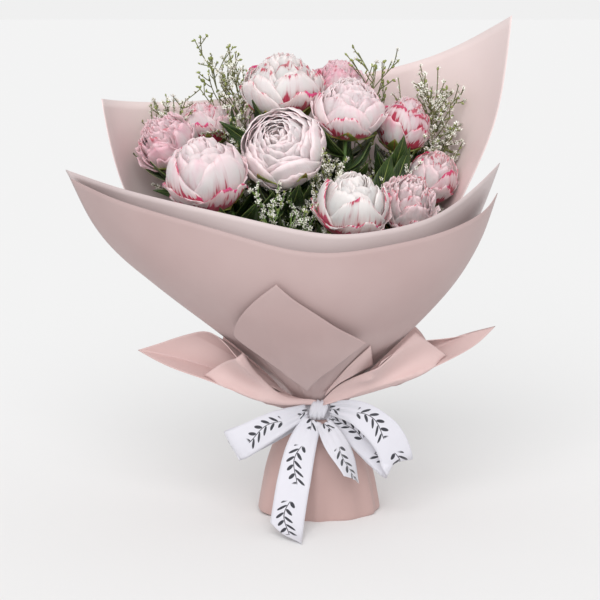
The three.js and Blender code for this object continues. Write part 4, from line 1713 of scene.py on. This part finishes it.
@dataclass
class PaperWrap:
    """The sheets round the bunch: the frame's thin solids, smoothed and pleated together."""

    throat: float = 0.132
    pleats: int = 26
    pleat_depth: float = 2.4 * MM
    pleat_fade: float = 0.055
    sway: float = 3.0 * MM
    sway_pitch: float = 0.11
    wing_folds: float = math.radians(17)
    wing_depth: float = 6.0 * MM
    flutes: int = 13
    flute_depth: float = 1.3 * MM
    levels: int = 3

    def fan(self, points: np.ndarray) -> np.ndarray:
        """Moves points by the pleats that fan out from the throat and by a slow sway.

        Args:
            points: Rows of X, Y and Z.

        Returns:
            The move of each point, away from the bunch's axis.
        """
        around, out = around_axis(points)
        height = points[:, 2] - self.throat
        fade = smoothstep(0.0, 0.02, height) * np.exp(-np.maximum(height, 0) / self.pleat_fade)
        ring = 4 * out + np.array([0.0, 0.0, 7.0])
        uneven = np.array([noise.noise(Vector(p)) for p in ring])
        fold = np.cos(self.pleats * around + 5 * uneven) * (0.6 + 0.8 * uneven)
        slow = np.array([noise.noise(Vector(p / self.sway_pitch)) for p in points])
        swell = smoothstep(0.02, 0.12, height)
        amount = self.pleat_depth * fade * fold + self.sway * swell * slow
        return out * amount[:, None]

    def crumple(self, points: np.ndarray) -> np.ndarray:
        """Folds a wing forwards in rounded ridges that run out from the throat.

        Args:
            points: Rows of X, Y and Z.

        Returns:
            The move of each point.
        """
        reach = np.maximum(np.abs(points[:, 0]) - 0.02, 1e-4)
        height = points[:, 2] - self.throat
        slope = np.arctan2(height, reach)
        far = np.hypot(height, reach)
        side = np.sign(points[:, 0])
        ridge = np.abs(np.sin(math.pi * slope / self.wing_folds + 0.5 * side + 6 * far))
        swell = smoothstep(0.005, 0.05, far) * (1 - 0.6 * smoothstep(0.07, 0.17, far))
        amount = self.wing_depth * swell * (ridge**0.8 - 0.2)
        return amount[:, None] * np.array([0.0, -0.85, 0.3])

    def flute(self, points: np.ndarray) -> np.ndarray:
        """Moves the foot's points by soft upright flutes."""
        around, out = around_axis(points)
        low = smoothstep(0.10, 0.02, points[:, 2])
        wave = np.cos(self.flutes * around + 1.7 * np.sin(3 * around)) * self.flute_depth
        return out * (wave * (0.25 + 0.75 * low))[:, None]

    def sheet(self, node: str) -> bpy.types.Object:
        """Makes one sheet from the frame's solid, with its folds."""
        piece = smooth_copy(node, self.levels, node + "_sheet")
        points = np.array([v.co for v in piece.data.vertices])
        move = self.crumple if "wing" in node else self.flute if "sleeve" in node else self.fan
        points += move(points)
        piece.data.vertices.foreach_set("co", points.astype(np.float32).ravel())
        piece.data.update()
        return piece

    def build(self) -> None:
        """Makes every sheet, laps the wings' pleats over the neck, and says how each was cut."""
        sheets = {node: self.sheet(node) for node in CUTS}
        walls = [wall_of(piece) for node, piece in sheets.items() if "front" in node or "wing" in node]
        for pleat in PLEATS:
            join(sheets[pleat.node], pleat.build(walls, tie_height()))
        for node, cut in CUTS.items():
            piece = sheets[node]
            piece.data.materials.append(cut.finish.material())
            settle(piece, cut.slot, [node])
            area = sum(face.area for face in piece.data.polygons) / 2
            log.info("%s: %.4f square metres, cut %.4f", piece.name, area, cut.area)


# ---- Ribbon --------------------------------------------------------------------------------------


@dataclass(frozen=True)
class SatinFinish(Finish):
    """White satin ribbon with a printed leaf sprig, drawn from the ribbon's own map in metres.

    The map's first value runs across from the middle, and its second along the ribbon. A sprig
    takes one cell: its stalk sways, and pairs of leaves stand off it, one pair a pitch, each leaf
    turned by its lean's cosine and sine.
    """

    tone: str = "DAD9E1"
    ink: str = "23232E"
    cell: float = 62 * MM
    pitch: float = 9.0 * MM
    half_width: float = 18 * MM
    sway: float = 4.4 * MM
    stalk: tuple[float, float] = (0.6 * MM, 0.35 * MM)
    leaf_off: float = 4.6 * MM
    leaf_size: tuple[float, float] = (5.2 * MM, 1.6 * MM)
    lean: tuple[float, float] = (0.66, 0.75)
    selvedge: float = 1.2 * MM

    def dress(self, shader: Shader, surface: bpy.types.Node) -> None:
        """Draws the sprig, the satin's warp and the woven edges."""
        place = shader.add("UVMap", {"uv_map": "Weave"}).outputs[0]
        parts = shader.add("SeparateXYZ", None, _0=place).outputs
        across, along = parts[0], parts[1]
        turn = shader.maths("MULTIPLY", along, 2 * math.pi / self.cell)
        bend = shader.maths("MULTIPLY", shader.maths("SINE", turn), self.sway)
        off = shader.maths("SUBTRACT", across, bend)
        side = shader.maths("ABSOLUTE", off)
        window = shader.maths("COSINE", shader.maths("ADD", turn, 1.0))
        shown = shader.rise(window, -0.62, -0.42)
        stalk = shader.rise(side, *self.stalk)
        shift = shader.maths("MULTIPLY", shader.maths("SIGN", off), self.pitch / 4)
        step = shader.maths("WRAP", shader.maths("ADD", along, shift), self.pitch / 2, -self.pitch / 2)
        out = shader.maths("SUBTRACT", side, self.leaf_off)
        level, rise = self.lean
        sizes = []
        for operation, a, b, size in zip(("ADD", "SUBTRACT"), (step, out), (out, step), self.leaf_size):
            turned = (shader.maths("MULTIPLY", a, level), shader.maths("MULTIPLY", b, rise))
            share = shader.maths("DIVIDE", shader.maths(operation, *turned), size)
            sizes.append(shader.maths("POWER", share, 2.0))
        reach = shader.maths("ADD", *sizes)
        leaf = shader.rise(reach, 1.1, 0.9)
        ink = shader.maths("MULTIPLY", shader.maths("MAXIMUM", stalk, leaf), shown)
        shader.feed(surface, "Base Color", shader.blend(ink, linear(self.tone), linear(self.ink)))
        coat(surface, Roughness=0.34, Anisotropic=0.4, Sheen_Weight=0.3)
        warp = shader.add("TexWave", {"bands_direction": "X"}, Vector=place, Scale=900.0, Distortion=0.6)
        inset = self.half_width - self.selvedge
        edge = shader.rise(shader.maths("ABSOLUTE", across), inset, self.half_width)
        height = shader.maths("MULTIPLY_ADD", edge, 2.0, warp.outputs["Fac"])
        self.bump(shader, surface, height, 0.00008)


SATIN = SatinFinish("satin")
# How far along the ribbon there is no print, for the turn and the knot.
BLANK = 23 * MM


@dataclass(frozen=True)
class Bend:
    """One point of a ribbon's run, in millimetres from the band's front at the tie's height.

    Across is the direction over the ribbon's width there, and width its share of the full width.
    """

    at: tuple[float, float, float]
    across: tuple[float, float, float]
    width: float


@dataclass
class RibbonRun:
    """A length of ribbon along its bends, gathered where it is narrow."""

    name: str
    bends: tuple[Bend, ...]
    held: str
    cut: tuple[float, float] = (0.0, 0.0)
    full: float = 36 * MM
    hollow: float = 1.6 * MM
    crush: float = 2.2 * MM
    thickness: float = 0.35 * MM
    rows: int = 72
    cols: int = 13

    def trim(self, grid: np.ndarray, length: np.ndarray) -> tuple[np.ndarray, np.ndarray]:
        """Cuts the run's end on a slant, by pulling each column's last rows back.

        Args:
            grid: The run's points, shape (rows, cols, 3).
            length: How far along each row is.

        Returns:
            The trimmed points, and how far along the ribbon each one is.
        """
        even = np.linspace(0, 1, self.rows)
        trimmed = np.empty_like(grid)
        reached = np.empty(grid.shape[:2])
        for j in range(self.cols):
            loss = mix(*self.cut, j / (self.cols - 1)) / length[-1]
            where = even * (1 - loss * even**3)
            for k in range(3):
                trimmed[:, j, k] = np.interp(where, even, grid[:, j, k])
            reached[:, j] = np.interp(where, even, length)
        return trimmed, reached

    def build(self, front: np.ndarray) -> None:
        """Makes the run.

        Args:
            front: The band's front at the tie's height.
        """
        middle = catmull(np.array([b.at for b in self.bends], float) * MM + front, self.rows)
        across = unit(catmull(unit(np.array([b.across for b in self.bends], float)), self.rows))
        share = catmull(np.array([[b.width] * 3 for b in self.bends]), self.rows)[:, :1]
        along = unit(np.gradient(middle, axis=0))
        across = unit(across - (across * along).sum(axis=1, keepdims=True) * along)
        up = np.cross(across, along)
        s = np.linspace(-1, 1, self.cols)
        gather = np.clip(1.25 - share, 0, 1) ** 2
        lift = self.hollow * (s**2 - 0.4) + gather * self.crush * np.cos(3.5 * math.pi * s)
        half = self.full / 2 * np.minimum(share, 1)
        grid = middle[:, None] + across[:, None] * (half * s)[..., None]
        grid = grid + up[:, None] * lift[..., None]
        length = np.concatenate([[0], np.cumsum(np.linalg.norm(np.diff(middle, axis=0), axis=1))])
        grid, reached = self.trim(grid, length)
        place = np.stack(np.broadcast_arrays(s * self.full / 2, reached), axis=-1)
        strip = Patchwork()
        strip.add(grid, place)
        piece = strip.build("satin_" + self.name, [SATIN.material()])
        settle(thicken(piece, self.thickness), "ribbon", ["ribbon_" + self.name])
        log.info("%s: cut %.0f by %.0f mm", piece.name, self.full / MM, length[-1] / MM)


RUNS = (
    RibbonRun(
        "loop_left",
        (
            Bend((-12.5, -9, 3), (0.2, 0, -1), 0.4),
            Bend((-46, -22, -9), (0.4, 0, -0.9), 0.8),
            Bend((-84, -26, -29), (0.5, 0, -0.86), 1),
            Bend((-94, -20, -34), (0.5, 0, -0.86), 1),
            Bend((-84, -13, -31), (0.5, 0, -0.86), 1),
            Bend((-50, -8, -18), (0.4, 0, -0.9), 0.8),
            Bend((-13, -4.5, -4), (0.2, 0, -1), 0.4),
        ),
        "folded",
    ),
    RibbonRun(
        "loop_right",
        (
            Bend((12.5, -9, 6), (0.1, 0, -1), 0.4),
            Bend((44, -20, 2), (-0.2, 0, -1), 0.8),
            Bend((72, -25, -20), (-0.75, 0, -0.65), 1),
            Bend((84, -24, -46), (-0.85, 0, -0.5), 1),
            Bend((80, -16, -54), (-0.85, 0, -0.5), 1),
            Bend((54, -9, -34), (-0.75, 0, -0.65), 0.9),
            Bend((13, -4.5, -3), (-0.2, 0, -1), 0.4),
        ),
        "folded",
    ),
    RibbonRun(
        "tail_left",
        (
            Bend((-7, -13, -6), (1, 0, 0.25), 0.62),
            Bend((-19, -23, -36), (1, 0, 0.08), 0.9),
            Bend((-27, -38, -70), (1, 0, 0.05), 1),
            Bend((-32, -56, -96), (1, 0, 0.02), 1),
            Bend((-35, -76, -114), (1, 0, 0), 1),
            Bend((-36, -96, -118), (1, 0, 0), 1),
        ),
        "hung",
        cut=(46 * MM, 0.0),
    ),
    RibbonRun(
        "tail_right",
        (
            Bend((6, -14, -10), (1, 0.3, 0.2), 0.5),
            Bend((18, -22, -28), (0.8, 0.6, 0.3), 0.8),
            Bend((31, -30, -50), (0.5, 0.85, 0.2), 0.9),
            Bend((40, -36, -74), (0.3, 0.95, 0), 0.8),
        ),
        "hung",
        cut=(14 * MM, 0.0),
    ),
)


@dataclass
class Bow:
    """The ribbon: its turn round the neck, the knot, two loops and two tails."""

    runs: Sequence[RibbonRun] = RUNS
    creases: float = 0.5 * MM
    thickness: float = 0.5 * MM

    def build(self) -> None:
        """Makes the turn, the knot and the runs."""
        low, high = (np.array(corner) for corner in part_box("ribbon_band"))
        middle = (low + high) / 2
        self.wind(middle, (high[0] - low[0]) / 2, high[2] - low[2])
        self.tie()
        front = np.array([0.0, low[1], middle[2]])
        for run in self.runs:
            run.build(front)

    def wind(self, middle: np.ndarray, radius: float, height: float) -> None:
        """Makes the crushed turn round the neck.

        Args:
            middle: The turn's middle.
            radius: Its outer radius.
            height: Its height.
        """
        around = np.linspace(0, 2 * math.pi, 96, endpoint=False)
        up = np.linspace(-1, 1, 15)
        folds = np.cos(4.5 * math.pi * up[:, None] + 0.9 * np.sin(2 * around)) * self.creases
        size = radius - 2 * self.creases + folds
        level = np.broadcast_to(up[:, None] * height / 2, size.shape)
        ring = np.stack([size * np.cos(around), size * np.sin(around), level], axis=-1)
        place = np.stack(np.broadcast_arrays(up[:, None] * 16 * MM, BLANK + 0 * around), axis=-1)
        band = Patchwork()
        band.add(ring + middle * [0, 0, 1], place, ring=True)
        piece = band.build("satin_band", [SATIN.material()])
        settle(thicken(piece, self.thickness), "ribbon", ["ribbon_band"])

    def tie(self) -> None:
        """Makes the knot: one short pull of ribbon wrapped over the middle, with soft creases."""
        low, high = (np.array(corner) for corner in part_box("ribbon_knot"))
        middle, half = (low + high) / 2, (high - low) / 2
        around = np.linspace(0, 2 * math.pi, 40, endpoint=False)
        across = np.linspace(-1, 1, 25)[:, None]
        waist = np.maximum(1 - np.abs(across) ** 5, 0) ** 0.5
        folds = np.cos(4.3 * math.pi * across + 1.6 * np.sin(around + 0.5) + 0.7 * across**2)
        crease = 1 - 0.17 * (0.5 + 0.5 * folds)
        size = waist * crease * (0.92 + 0.08 * across**2)
        slant = 0.30 * np.sin(around) * waist
        sides = (0.95 * across + slant, size * np.cos(around), size * np.sin(around))
        shape = np.stack(np.broadcast_arrays(*sides), axis=-1)
        place = np.stack(np.broadcast_arrays(across * 15 * MM, BLANK + 0 * around), axis=-1)
        knot = Patchwork()
        knot.add(shape * half * 0.97 + middle, place, ring=True)
        piece = weld(knot.build("satin_knot", [SATIN.material()]))
        settle(piece, "ribbon", ["ribbon_knot"])


# ---- The whole bunch -----------------------------------------------------------------------------


def main() -> None:
    """Builds the bunch in order."""
    logging.basicConfig(level=logging.INFO, format="%(name)s: %(message)s")
    Studio().build()
    for peony in PEONIES:
        peony.build()
    stems = Stems()
    lines = stems.lines()
    stems.build()
    Leaves().build()
    Foliage().build(PEONIES, lines)
    Filler().build(PEONIES)
    PaperWrap().build()
    Bow().build()


if __name__ == "__main__":
    main()
